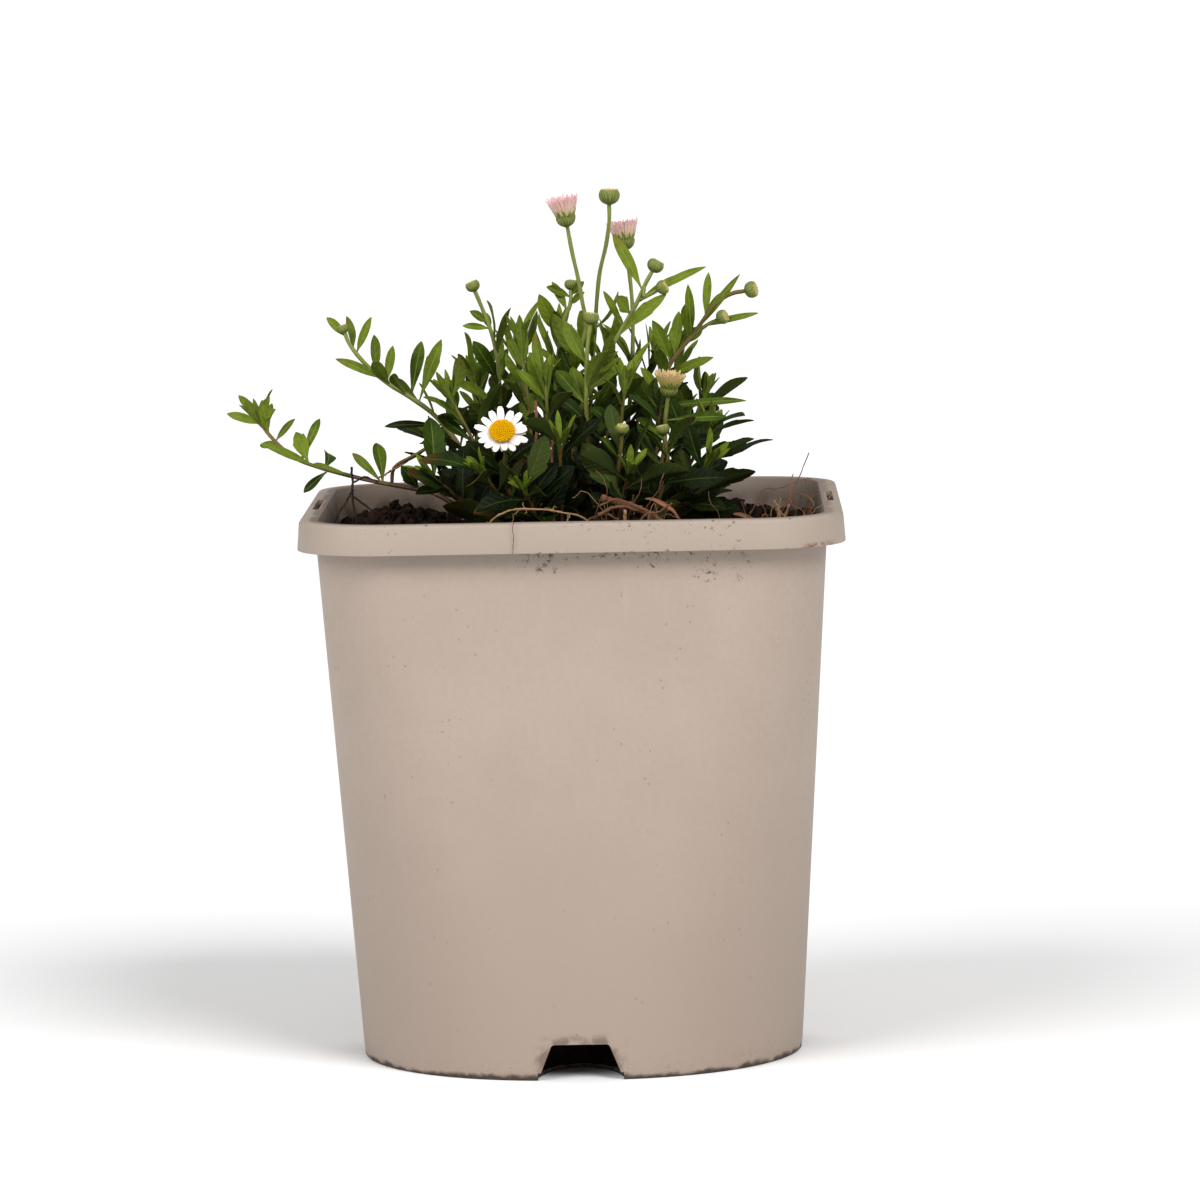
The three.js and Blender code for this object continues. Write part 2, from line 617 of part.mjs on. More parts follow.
function isClear(points, owner) {
  for (const p of points) {
    for (let dx = -1; dx <= 1; dx += 1) {
      for (let dy = -1; dy <= 1; dy += 1) {
        for (let dz = -1; dz <= 1; dz += 1) {
          const near = taken.get(cellKey([p[0] + dx * CELL, p[1] + dy * CELL, p[2] + dz * CELL]));
          if (!near) continue;
          for (const other of near) {
            const limit = other.owner === owner ? OWN_CLEARANCE : LEAF_CLEARANCE;
            const q = other.p;
            const away = (p[0] - q[0]) ** 2 + (p[1] - q[1]) ** 2 + (p[2] - q[2]) ** 2;
            if (away < limit * limit) return false;
          }
        }
      }
    }
  }
  return true;
}

const toThousandth = (value) => Math.round(value * 1000) / 1000;

// Points over a leaf, past the stretch next to its stem
function leafSamples(leaf, start) {
  const points = [];
  const rows = Math.ceil(leaf.length / SAMPLE_STEP);
  const columns = Math.ceil(leaf.width / 2 / SAMPLE_STEP);
  for (let row = 0; row <= rows; row += 1) {
    const along = row / rows;
    if (along * leaf.length < start) continue;
    const spread = Math.min(1, along * 2.2, (1 - along) * 3.5);
    for (let column = -columns; column <= columns; column += 1) {
      if (spread < 0.5 && column % 2 !== 0) continue;
      const p = leafPoint(leaf, along, (column / columns) * spread, 0);
      points.push([toThousandth(p.x), toThousandth(p.y), toThousandth(p.z)]);
    }
  }
  return points;
}

// Points over a bud, or over an open or half-open head
function headSamples(curve, way, reach, height, lean) {
  const end = curve.getPoint(1);
  const side = way.clone().cross(HEAD_SIDE).normalize();
  const other = way.clone().cross(side);
  const points = [];
  for (let rise = 0; rise <= height; rise += SAMPLE_STEP) {
    const wide = reach + rise * lean;
    for (let out = wide; out > 0; out -= SAMPLE_STEP) {
      const count = Math.ceil((Math.PI * 2 * out) / SAMPLE_STEP);
      for (let i = 0; i < count; i += 1) {
        const angle = (i / count) * Math.PI * 2;
        const p = end
          .clone()
          .addScaledVector(way, rise)
          .addScaledVector(side, out * Math.cos(angle))
          .addScaledVector(other, out * Math.sin(angle));
        points.push([toThousandth(p.x), toThousandth(p.y), toThousandth(p.z)]);
      }
    }
  }
  return points;
}

function curveSamples(curve) {
  const count = Math.ceil(curve.getLength());
  const points = [];
  for (let i = 0; i <= count; i += 1) {
    const p = curve.getPoint(i / count);
    points.push([toThousandth(p.x), toThousandth(p.y), toThousandth(p.z)]);
  }
  return points;
}

// A leaf stays above the soil and off the pot's rim
function isAbovePot(points) {
  return points.every(([x, y, z]) => {
    const out = Math.max(Math.abs(x), Math.abs(y));
    if (out > RIM_ZONE.to) return true;
    if (out > RIM_ZONE.from) return z > POT_HEIGHT + LEAF_HEADROOM;
    return z > soilHeight(x, y) + LEAF_HEADROOM;
  });
}

// Broad leaves have five or three teeth
const kindOf = (width, limits) => {
  if (width > limits.five) return 'five';
  return width > limits.three ? 'three' : 'narrow';
};

// The rule for one leaf: its turn round the stem, its rise, its size and its teeth
function ruledLeaf(stem, curve, at, turn, spin, size) {
  const root = curve.getPoint(at);
  const tangent = curve.getTangent(at);
  const out = new Vector3(Math.cos(turn + spin), Math.sin(turn + spin), 0);
  out.addScaledVector(tangent, -out.dot(tangent)).normalize();
  const height = Math.min(1, Math.max(0, (root.z - RULED.foot) / RULED.climb));
  const rise = RULED.rise + RULED.highRise * height * height + RULED.riseRange * size.lift;
  out.addScaledVector(tangent, rise * RULED.alongStem).addScaledVector(up, rise * RULED.upward);
  const low = 1 - height;
  const length = (RULED.length + RULED.lowLength * low + RULED.lengthRange * size.length) * stem.small;
  const width = (RULED.width + RULED.lowWidth * low * low + RULED.widthRange * size.width) * stem.small;
  const tip = root.clone().addScaledVector(out.normalize(), length);
  const lean = size.twist * Math.PI * 2;
  const look = new Vector3(RULED.lean * Math.cos(lean), RULED.lean * Math.sin(lean), 1);
  return leafBetween(root, tip, look, width, kindOf(width, RULED), RULED.arch - RULED.archRange * size.lift);
}

// Every leaf of every stem: the measured ones first, then the rule's, one round at a time
function placeLeaves(stems) {
  const draw = draws(LEAF_SEED);
  for (const stem of stems) {
    take(curveSamples(stem.curve), stem.name);
    if (stem.branchCurve) take(curveSamples(stem.branchCurve), stem.name);
    const way = stem.head === 'daisy' ? DAISY_WAY : stem.curve.getTangent(1);
    if (stem.bud) take(headSamples(stem.curve, way, stem.bud, stem.bud * 1.6, 0), stem.name);
    if (stem.head) take(headSamples(stem.curve, way, ...HEADS[stem.head].room), stem.name);
    stem.blades = [];
  }
  for (const stem of stems) {
    for (const [at, x, y, z, width] of stem.traced ?? []) {
      const kind = kindOf(width, TRACED);
      const tip = new Vector3(x, y, z);
      const root = stem.curve.getPoint(at);
      const leaf = leafBetween(root, tip, SHOWN_FACE, width * TRACED.spread, kind, TRACED.arch);
      const samples = leafSamples(leaf, LEAF_START);
      if (!isClear(samples, stem.name)) continue;
      take(samples, stem.name);
      stem.blades.push(leaf);
    }
  }
  const rounds = Math.max(...stems.map((stem) => stem.leaves));
  for (let round = 0; round < rounds; round += 1) {
    for (const [order, stem] of stems.entries()) {
      const size = { length: draw(), width: draw(), lift: draw(), twist: draw() };
      if (round >= stem.leaves) continue;
      const at = stem.to - ((stem.to - stem.from) * round) / stem.leaves;
      const turn = round * GOLDEN_TURN + order * RULED.stemTurn;
      for (const spin of SPINS) {
        const leaf = ruledLeaf(stem, stem.curve, at, turn, spin, size);
        const samples = leafSamples(leaf, LEAF_START);
        if (!isAbovePot(samples) || !isClear(samples, stem.name)) continue;
        take(samples, stem.name);
        stem.blades.push(leaf);
        break;
      }
    }
  }
}

// A closed turned form, its axis along a direction
function turned(profile, sides, at, way) {
  const geometry = new LatheGeometry(profile.map(([r, h]) => new Vector2(r, h)), sides);
  geometry.applyQuaternion(new Quaternion().setFromUnitVectors(new Vector3(0, 1, 0), way));
  geometry.translate(at.x, at.y, at.z);
  return solidOf(geometry);
}

const BUD_PROFILE = [[0, -0.1], [0.55, 0.06], [0.96, 0.5], [1, 1], [0.78, 1.36], [0, 1.42]];
const CUP_PROFILE = [[0, -0.1], [0.5, 0.04], [0.92, 0.42], [1.04, 0.9], [0, 0.9]];

const budOn = (curve, radius) => {
  const profile = BUD_PROFILE.map(([r, h]) => [r * radius, h * radius]);
  return turned(profile, ROUND_SIDES, curve.getPoint(1), curve.getTangent(1));
};

function headFrame(stem) {
  const head = HEADS[stem.head];
  const way = stem.head === 'daisy' ? DAISY_WAY.clone() : stem.curve.getTangent(1);
  const end = stem.curve.getPoint(1);
  const seat = end.clone().addScaledVector(way, head.cup * 0.9 + HEAD_GAP);
  const side = way.clone().cross(HEAD_SIDE).normalize();
  return { head, way, end, seat, side, other: way.clone().cross(side) };
}

function cupSolid(stem) {
  const { head, way, end } = headFrame(stem);
  return turned(CUP_PROFILE.map(([r, h]) => [r * head.cup, h * head.cup]), ROUND_SIDES, end, way);
}

// Rays that stand out of a small core, all of one colour
function raySolid(stem) {
  const { head, way, seat, side, other } = headFrame(stem);
  const [wide, high] = head.core;
  const core = [[0, 0], [head.cup * CORE_FOOT, 0], [wide, high * CORE_SHOULDER], [0, high]];
  const solids = [turned(core, CORE_SIDES, seat, way)];
  const draw = draws(SOIL_SEED + head.rays);
  for (let i = 0; i < head.rays; i += 1) {
    const angle = (i / head.rays) * Math.PI * 2;
    const out = side.clone().multiplyScalar(Math.cos(angle)).addScaledVector(other, Math.sin(angle));
    const lean = head.lean * (LEAST_LEAN + LEAN_RANGE * draw());
    const direction = out.clone().multiplyScalar(Math.sin(lean)).addScaledVector(way, Math.cos(lean));
    const root = seat.clone().addScaledVector(out, head.start).addScaledVector(way, RAY_THICKNESS / 2);
    const length = head.length * (SHORTEST_RAY + RAY_RANGE * draw());
    const face = out.clone().multiplyScalar(-Math.cos(lean)).addScaledVector(way, Math.sin(lean));
    const ray = {
      root,
      way: direction,
      side: direction.clone().cross(face),
      face,
      length,
      width: head.width,
      kind: 'ray',
      arch: RAY_ARCH,
    };
    solids.push(bladeSolid(ray, RAY_THICKNESS));
  }
  return joined(solids);
}

// The yellow disc: a low dome whose rows of points rise and fall as florets
function discSolid(stem) {
  const { way, seat, side, other } = headFrame(stem);
  const base = seat.clone().addScaledVector(way, DISC.seat + HEAD_GAP);
  const ring = (share, raised) => {
    const points = [];
    for (let i = 0; i < DISC.sides; i += 1) {
      const angle = (i / DISC.sides) * Math.PI * 2;
      const bump = i % 2 === 0 ? DISC.florets : -DISC.florets;
      const out = DISC.radius * share;
      const lift = raised ? DISC.height * Math.sqrt(1 - share * share * DISC.dome) + bump : 0;
      points.push(
        base
          .clone()
          .addScaledVector(side, out * Math.cos(angle))
          .addScaledVector(other, out * Math.sin(angle))
          .addScaledVector(way, lift)
          .toArray(),
      );
    }
    return points;
  };
  return solidOf(loftOf([ring(DISC.foot, false), ...DISC_ROWS.map((share) => ring(share, true))]));
}

// Dry pieces on the soil: their thickness, and the places that they pass with the rise over the soil
const DRY_PIECES = [
  {
    name: 'dry_root_arc', radius: 0.6,
    points: [[-26, -61, 0], [-22, -62, 6.8], [-17.7, -62, 9.6], [-13.9, -62, 10.3], [-6.8, -62, 9.3],
      [-1.4, -62, 7.4], [2.7, -61, 5.2], [7, -59, 0]],
  },
  {
    name: 'dry_stalk_right', radius: 0.8,
    points: [[29.5, -5, 4.6], [34, -5, 3.2], [38, -5, 1.5], [42.5, -6, 0]],
  },
  {
    name: 'dry_stick_back', radius: 0.8,
    points: [[30, 46, 0], [34.3, 47, 3.5], [40.1, 48, 5.7], [44.1, 49, 7.4]],
  },
  { name: 'dry_bark', radius: 1.3, points: [[8.5, -50, 3.6], [14, -50, 2.2], [19, -50, 1], [25, -50, 0]] },
];

function dryPath(piece) {
  const points = piece.points.map(([x, y, rise]) => {
    return new Vector3(x, y, soilHeight(x, y) + piece.radius + DRY_GAP + rise);
  });
  return new CatmullRomCurve3(points, false, 'catmullrom');
}

const plant = new Group();
const stems = STEMS.map((given) => {
  const stem = { ...LEAFY_STEM, ...given };
  stem.curve = stemPath(stem);
  if (stem.branch) {
    const start = stem.curve.getPoint(stem.branch.at);
    const points = [start, ...stem.branch.points.map(vec)];
    stem.branchCurve = new CatmullRomCurve3(points, false, 'catmullrom');
  }
  return stem;
});
for (const piece of DRY_PIECES) {
  piece.path = dryPath(piece);
  take(curveSamples(piece.path), piece.name);
}
placeLeaves(stems);

plant.add(meshOf('pot', makePot(), COLOURS.pot, 0.55));
plant.add(meshOf('soil', makeSoil(stems), COLOURS.soil, 0.95));

for (const stem of stems) {
  const step = stem.points ? BENT_STEM_STEP : STEM_STEP;
  const solids = [tubeAlong(stem.curve, stem.radius, step)];
  if (stem.branchCurve) solids.push(tubeAlong(stem.branchCurve, stem.radius * BRANCH_SHARE, step));
  if (stem.bud) solids.push(budOn(stem.curve, stem.bud));
  if (stem.branch?.bud) solids.push(budOn(stem.branchCurve, stem.branch.bud));
  if (stem.head) solids.push(cupSolid(stem));
  solids.push(...stem.blades.map((leaf) => bladeSolid(leaf, BLADE_THICKNESS)));
  plant.add(meshOf(stem.name, joined(solids), stem.head ? COLOURS.stalk : COLOURS.leaf, 0.6));
}

for (const stem of stems.filter((one) => one.head)) {
  const colour = COLOURS[{ pink: 'pinkRay', cream: 'creamRay', daisy: 'whiteRay' }[stem.head]];
  plant.add(meshOf(stem.name.replace('stem', 'rays'), raySolid(stem), colour, 0.6));
  if (stem.head === 'daisy') plant.add(meshOf('disc_daisy', discSolid(stem), COLOURS.disc, 0.8));
}

for (const piece of DRY_PIECES) {
  plant.add(meshOf(piece.name, tubeAlong(piece.path, piece.radius, DRY_STEP), COLOURS.dryStem, 0.85));
}

export default plant;
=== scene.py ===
import math
from types import SimpleNamespace

import bmesh
import bpy
import numpy as np
from mathutils import Matrix, Vector, noise


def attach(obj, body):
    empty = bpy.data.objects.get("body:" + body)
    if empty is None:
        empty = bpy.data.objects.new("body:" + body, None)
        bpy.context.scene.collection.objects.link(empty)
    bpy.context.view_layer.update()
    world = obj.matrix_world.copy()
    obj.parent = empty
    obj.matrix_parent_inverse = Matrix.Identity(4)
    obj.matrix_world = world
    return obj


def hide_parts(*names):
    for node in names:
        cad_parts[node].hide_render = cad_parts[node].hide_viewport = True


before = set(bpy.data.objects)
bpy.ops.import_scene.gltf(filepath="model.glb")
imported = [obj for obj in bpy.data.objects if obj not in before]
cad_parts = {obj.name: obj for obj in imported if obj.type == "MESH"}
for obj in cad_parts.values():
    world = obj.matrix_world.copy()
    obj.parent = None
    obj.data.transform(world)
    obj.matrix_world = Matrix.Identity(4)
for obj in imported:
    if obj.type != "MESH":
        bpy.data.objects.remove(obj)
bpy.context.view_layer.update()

# Measures of the plant and its pot, in millimetres
MM = 0.001
POT_HEIGHT, WALL = 154.4, 1.1
BASE_HALF, BASE_CORNER = 61.5, 55.5
TOP_HALF, TOP_CORNER = 70.3, 20.5
RIM_HALF, RIM_CORNER = 74.4, 24.6
RIM_DROP, RIM_FLARE, RIM_SKIN = 8.2, 0.6, 1.3
SLOT_LENGTH, SLOT_WIDTH = 32, 1.8
GROOVE_PLACES, GROOVE_HALF, GROOVE_DEPTH = (-61.8, -38.7, 38.7, 59.5), 0.3, 0.35
DRAIN = SimpleNamespace(top=16.6, bottom=23.7, height=10, reach=22, through=6)

SOIL_GAP, SOIL_LEVEL = 0.3, 145.6
SOIL_SEED, SOIL_LUMPS, SOIL_REACH = 41, 46, 66
HEAPS = ((46, -6, 17, 3.2), (14, -51, 16, 7.2))
SOIL_DIP, SOIL_RISE = 2.6, 8
FOOT_DEPTH = 12

STEM_RISE, STEM_BOW = 2.5, 0.12
GOLDEN_TURN = 137.5 * math.pi / 180
LEAF_SEED = 7
LEAF_CLEARANCE, OWN_CLEARANCE = 2.1, 1.5
SAMPLE_STEP, LEAF_START, LEAF_HEADROOM = 1.25, 3.2, 2.2
ROOT_SINK = 0.3
SPINS = (0, 0.5, -0.5, 1, -1, 1.6, -1.6, 2.3, -2.3)
RUNNERS = 2
SMALL_ROUNDS, SMALL_SPINS = 12, 7
SMALL_CLEARANCE, SMALL_OWN_CLEARANCE = 1.3, 0.9
# heights over which leaves grow younger and come out of painted shade
YOUTH_AND_LIGHT_FROM, YOUTH_AND_LIGHT_CLIMB = 162, 42
SLIM_RUNNER, SLIM_TRACED = 0.84, 0.78
HEAD_GAP = 0.3

HEADS = {
    "pink": SimpleNamespace(cup=3, rays=11, length=5.4, lean=0.36, room=(3.4, 9, 0.3)),
    "cream": SimpleNamespace(cup=2.7, rays=10, length=4.6, lean=0.5, room=(3.2, 8, 0.5)),
    "daisy": SimpleNamespace(cup=2.9, rays=16, length=7.2, lean=1.5, start=1.2, room=(9, 5, 0)),
}
DISC = SimpleNamespace(radius=3.7, height=1.9, seat=1.3, knobs=125, knob=0.27)

CRUMBS, SPREAD_CRUMBS = 3600, 1500
CRUMB_LIMIT, CRUMB_INSET, CRUMB_CORNER = 66.5, 47, 19
CRUMB_CENTRES = ((-51, -16), (-50, 20), (42, 4))
CRUMB_HEAPS = ((-52, -16, 12, 8), (-50, 22, 14, 6.5), (42, 4, 13, 5))

# The camera's place in millimetres, its turns in degrees and its lens, as fitted to the photograph
CAMERA = SimpleNamespace(
    place=(34.07, -1951.7, 315.1), heading=0.8, pitch=5.53, roll=1.085, lens=209.49, film=36,
)
SKY = 0.39
SUNS = (
    ("key", (-0.5, 0.75, -0.75), 1.98, 26),
    ("fill", (0.65, 0.7, -0.7), 1.54, 34),
)

PLAIN_STEM = dict(
    radius=0.75, leaf_from=0.24, leaf_to=0.97, small=1, green=0,
    points=None, branch=None, traced=[], bud=0, head=None,
)

STEMS = [
    dict(
        name="stem_left_runner", foot=[-27, -15], radius=0.8,
        leaves=7, leaf_from=0.3, leaf_to=0.9, small=0.72,
        points=[[-30, -15, 152.5], [-38.1, -14, 157.9], [-46.8, -12, 159.9], [-56.1, -9, 161.5],
          [-64.4, -5, 163.3], [-71.5, -2, 165.1], [-77.5, 1, 167.3], [-82.3, 3, 170.9],
          [-86.2, 5, 175], [-88.7, 6, 178.9]],
        branch=dict(at=0.45, points=[[-49.5, -12, 165.5], [-43.7, -14, 168.9], [-37.2, -14, 172.7]]),
        traced=[
          [1, -93.7, 6, 185.2, 2.6], [0.958, -96.9, 3, 180.3, 2.8], [0.68, -86.7, -7, 172.5, 2.8],
          [0.7, -77.7, 3, 175, 4.8], [0.73, -71.1, 5, 178.4, 2.8], [0.63, -75.2, -8, 158.9, 2.6],
          [0.473, -61.1, -11, 169.6, 2.8], [0.378, -47.3, -16, 166, 5.3], [0.93, -84.6, 9, 182.6, 2.4],
        ],
    ),
    dict(
        name="stem_left_rising", foot=[-22, 3], radius=0.8, leaves=9, leaf_from=0.22, leaf_to=0.86, small=0.8,
        points=[[-30.6, 3, 167.4], [-35, 4, 174.4], [-39.4, 4, 179.3], [-44.6, 3, 183.4],
          [-50.4, 2, 187.2], [-55.3, 1, 191.3], [-59.4, 0, 195.7], [-62.1, 0, 199.6], [-63.2, 0, 202.5]],
        bud=1.6,
        traced=[
          [0.96, -68.1, 0, 207, 2.6], [0.838, -55.7, -2, 206.9, 2.5], [0.682, -65.5, -3, 195.6, 2.8],
          [0.662, -50, 4, 198.5, 2.8], [0.555, -41.9, -1, 199.6, 3.9], [0.52, -36.5, 8, 199.8, 4.2],
          [0.388, -52.3, -1, 176.5, 2.5],
        ],
    ),
    dict(
        name="stem_bud_top_left", foot=[-16, 8], radius=0.65, leaves=8, leaf_from=0.25, leaf_to=0.68, small=1,
        points=[[-19.7, 10, 173.7], [-20.4, 12, 184.9], [-21.1, 12, 194.8], [-22.9, 12, 202.4],
          [-25, 12, 208.1], [-26.9, 12, 212.9]],
        bud=2,
        traced=[[0.78, -28.2, 10, 207.5, 2.6], [0.74, -24.5, 15, 207, 2.5]],
    ),
    dict(
        name="stem_pink_left", foot=[-1, 0], radius=0.65, leaves=8, leaf_from=0.2, leaf_to=0.5, small=1,
        points=[[0.7, 0, 171.3], [0, 0, 182.5], [1.6, 0, 193.7], [4.3, 0, 202.6], [3.4, -1, 210.5],
          [2.4, -2, 216.8], [0.9, -3, 224.1], [-0.3, -4, 231.4]],
        head="pink",
    ),
    dict(
        name="stem_bud_top", foot=[3, 10], radius=0.65, leaves=8, leaf_from=0.2, leaf_to=0.5, small=1,
        points=[[4.8, 10, 176.1], [5.7, 10, 190.2], [6.7, 10, 201.5], [7.4, 9, 209.9], [8.4, 8, 217.8],
          [10.3, 7, 225.4], [11.3, 6, 231.9], [11.4, 6, 236.9]],
        bud=2.9,
    ),
    dict(
        name="stem_pink_right", foot=[12, 14], radius=0.65, leaves=8, leaf_from=0.2, leaf_to=0.55, small=1,
        points=[[15.5, 16, 175.5], [16.8, 17, 189.5], [17.3, 18, 200.8], [17.2, 18, 209.3],
          [16.5, 18, 217.8], [15.8, 18, 223.6]],
        head="pink",
    ),
    dict(
        name="stem_bud_right", foot=[0.5, -8], radius=0.75, leaves=7, leaf_from=0.22, leaf_to=0.58, small=1,
        points=[[0.8, -8, 174.7], [5.3, -9, 185.8], [9, -10, 193.6], [13.4, -10, 201.1],
          [18, -10, 208.5], [21.1, -10, 214.9], [23.2, -9, 218.6]],
        bud=2.3,
        branch=dict(at=0.88, points=[[21, -12, 211.8], [24.6, -13, 213.6]], bud=2),
        traced=[
          [0.86, 12.5, -7, 229.4, 3.6], [0.82, 37.8, -12, 220.2, 2.6], [0.66, 26.8, -14, 212.5, 4.2],
          [0.75, 13.3, -16, 212, 5],
        ],
    ),
    dict(
        name="stem_bud_far_right", foot=[16, 4], radius=0.75, green=-0.45,
        leaves=7, leaf_from=0.22, leaf_to=0.62, small=0.9,
        points=[[23.1, 4, 170.6], [24.7, 5, 181.7], [27.1, 6, 190.6], [30.5, 6, 195.6],
          [33.7, 6, 199.2], [36.8, 5, 203.4], [40.8, 4, 208.5], [45.1, 3, 211.3], [49, 2, 212.1]],
        bud=2.3,
        branch=dict(at=0.62, points=[[37.9, 2, 202.6], [41.3, 0, 204.4]], bud=2),
        traced=[
          [0.645, 33.1, 2, 214, 2.8], [0.75, 38.9, 7, 217.3, 2.6], [0.72, 43.4, 11, 211.8, 2.6],
          [0.482, 23.1, 1, 204.3, 3.9], [0.5, 30.4, 10, 206.4, 3.4], [0.427, 39.7, 1, 193.8, 3.1],
          [0.345, 48.5, -1, 182, 2.5],
        ],
    ),
    dict(
        name="stem_cream", foot=[20, -14], radius=0.65, leaves=5, leaf_from=0.3, leaf_to=0.72, small=0.9,
        points=[[25.3, -16, 167.8], [26.1, -17, 177.6], [27, -18, 184.2]],
        head="cream",
        traced=[[0.8, 42.9, -21, 178.8, 3.1], [0.62, 39.3, -12, 172.5, 4.5]],
    ),
    dict(
        name="stem_bud_low", foot=[22, -22], radius=0.65, leaves=3, leaf_from=0.35, leaf_to=0.7, small=0.9,
        points=[[26.4, -24, 164.3], [26.2, -24, 171.2], [25.7, -24, 174]],
        bud=1.9,
        traced=[[0.545, 41.8, -28, 162.6, 7]],
    ),
    dict(
        name="stem_daisy", foot=[-14, -20], radius=0.65, leaves=4, leaf_from=0.32, leaf_to=0.7, small=0.85,
        points=[[-18.5, -24, 162.3], [-18.2, -26, 169.2], [-18.6, -28.4, 173.4]],
        head="daisy",
    ),
    dict(
        name="stem_bud_middle", foot=[-5, 6], radius=0.65, leaves=8, leaf_from=0.2, leaf_to=0.66, small=1,
        points=[[-4.6, 4, 176], [-4.3, 5, 190], [-2.2, 5, 203.3], [-0.1, 6, 208.9], [0.2, 7, 213]],
        bud=1.9,
        traced=[[0.8, -5, 7, 215.5, 2.6]],
    ),
    dict(
        name="stem_bud_front_mid", foot=[5, -14], radius=0.65,
        leaves=8, leaf_from=0.2, leaf_to=0.78, small=0.95,
        points=[[4.6, -14.5, 172], [4.2, -15, 183.4], [4.8, -16, 197.4], [5.8, -16, 204.6]],
        bud=2.2,
    ),
    dict(
        name="stem_bud_front", foot=[10, -22], radius=0.65, leaves=4, leaf_from=0.3, leaf_to=0.72, small=0.9,
        points=[[12.8, -26, 164.7], [13.8, -28, 171.7], [14.1, -29, 174.8]],
        bud=1.9,
    ),
    dict(name="stem_leafy_01", foot=[-20, -5], tip=[-34.7, -6, 185.8], leaves=13),
    dict(name="stem_leafy_02", foot=[-24, -22], tip=[-39.3, -25, 163.8], leaves=7),
    dict(name="stem_leafy_03", foot=[-16, -28], tip=[-25, -36, 166.1], leaves=9),
    dict(name="stem_leafy_04", foot=[-18, 15], tip=[-28.9, 18, 190.3], leaves=13),
    dict(name="stem_leafy_05", foot=[-10, -5], tip=[-14, -6, 201.4], leaves=13),
    dict(name="stem_leafy_06", foot=[-6, -14], tip=[-6.9, -20, 191.1], leaves=12),
    dict(name="stem_leafy_07", foot=[-10, 18], tip=[-16.4, 28, 195.1], leaves=13),
    dict(name="stem_leafy_08", foot=[-2, 17], tip=[-3.4, 26, 202.1], leaves=13),
    dict(name="stem_leafy_09", foot=[-3, -25], tip=[-2.9, -34, 173.9], leaves=10),
    dict(name="stem_leafy_10", foot=[9, 3], tip=[11, 1, 199], leaves=12),
    dict(name="stem_leafy_11", foot=[12, -13], tip=[15.2, -19, 189], leaves=12),
    dict(name="stem_leafy_12", foot=[14, 23], tip=[23.4, 32, 195.6], leaves=13),
    dict(name="stem_leafy_13", foot=[20, 12], tip=[30.5, 15, 192.3], leaves=12),
    dict(name="stem_leafy_14", foot=[27, 18], tip=[37.4, 20, 183.3], leaves=12),
    dict(name="stem_leafy_15", foot=[27, -6], tip=[39.1, -10, 175.5], leaves=11),
    dict(name="stem_leafy_16", foot=[29, -15], tip=[38.6, -24, 167], leaves=8),
    dict(name="stem_leafy_17", foot=[13, -31], tip=[16.3, -40, 165.7], leaves=9),
    dict(name="stem_leafy_18", foot=[-27, 10], tip=[-38.7, 14, 170.9], leaves=10),
    dict(name="stem_leafy_19", foot=[-6, 27], tip=[-9.7, 42, 185.6], leaves=12),
    dict(name="stem_leafy_20", foot=[-18, 25], tip=[-27, 38, 177.6], leaves=11),
    dict(name="stem_leafy_21", foot=[22, 29], tip=[30.2, 40, 176.4], leaves=11),
    dict(name="stem_leafy_22", foot=[-9, -35], tip=[-13.1, -43, 161.3], leaves=7),
]


def unit(vector):
    vector = np.asarray(vector, float)
    return vector / np.linalg.norm(vector)


UP = np.array([0.0, 0.0, 1.0])
SHOWN_FACE = np.array([0.0, -1.0, 0.5])
HEAD_SIDE = np.array([0.0, 1.0, 0.1])
DAISY_WAY = unit([-0.05, -0.78, 0.62])


def linear(red, green, blue):
    """A colour as the eye sees it, 0 to 255 each, as the light that it sends back."""
    shares = [value / 255 for value in (red, green, blue)]
    light = [v / 12.92 if v <= 0.04045 else ((v + 0.055) / 1.055) ** 2.4 for v in shares]
    return (*light, 1.0)


class Signal:
    """A number, colour or direction inside a finish. Arithmetic on it adds its nodes."""

    def __init__(self, finish, socket):
        self.finish = finish
        self.socket = socket

    def math(self, operation, other=0.0, flipped=False):
        first, second = (other, self) if flipped else (self, other)
        spread = any(isinstance(v, Signal) and v.socket.type != "VALUE" for v in (first, second))
        kind = "VectorMath" if spread else "Math"
        return self.finish.node(kind, {"operation": operation}, {0: first, 1: second})

    def __add__(self, other):
        return self.math("ADD", other)

    __radd__ = __add__

    def __mul__(self, other):
        return self.math("MULTIPLY", other)

    __rmul__ = __mul__

    def __sub__(self, other):
        return self.math("SUBTRACT", other)

    def __rsub__(self, other):
        return self.math("SUBTRACT", other, flipped=True)

    def __abs__(self):
        return self.math("ABSOLUTE")

    def parts(self):
        split = self.finish.tree.nodes.new("ShaderNodeSeparateXYZ")
        self.finish.feed(split.inputs[0], self)
        return [Signal(self.finish, socket) for socket in split.outputs]

    def ease(self, low, high):
        """0 up to low, 1 from high on, and smooth between them."""
        settings = {"interpolation_type": "SMOOTHSTEP"}
        inputs = {"Value": self, "From Min": low, "From Max": high, "To Min": 0.0, "To Max": 1.0}
        return self.finish.node("MapRange", settings, inputs)


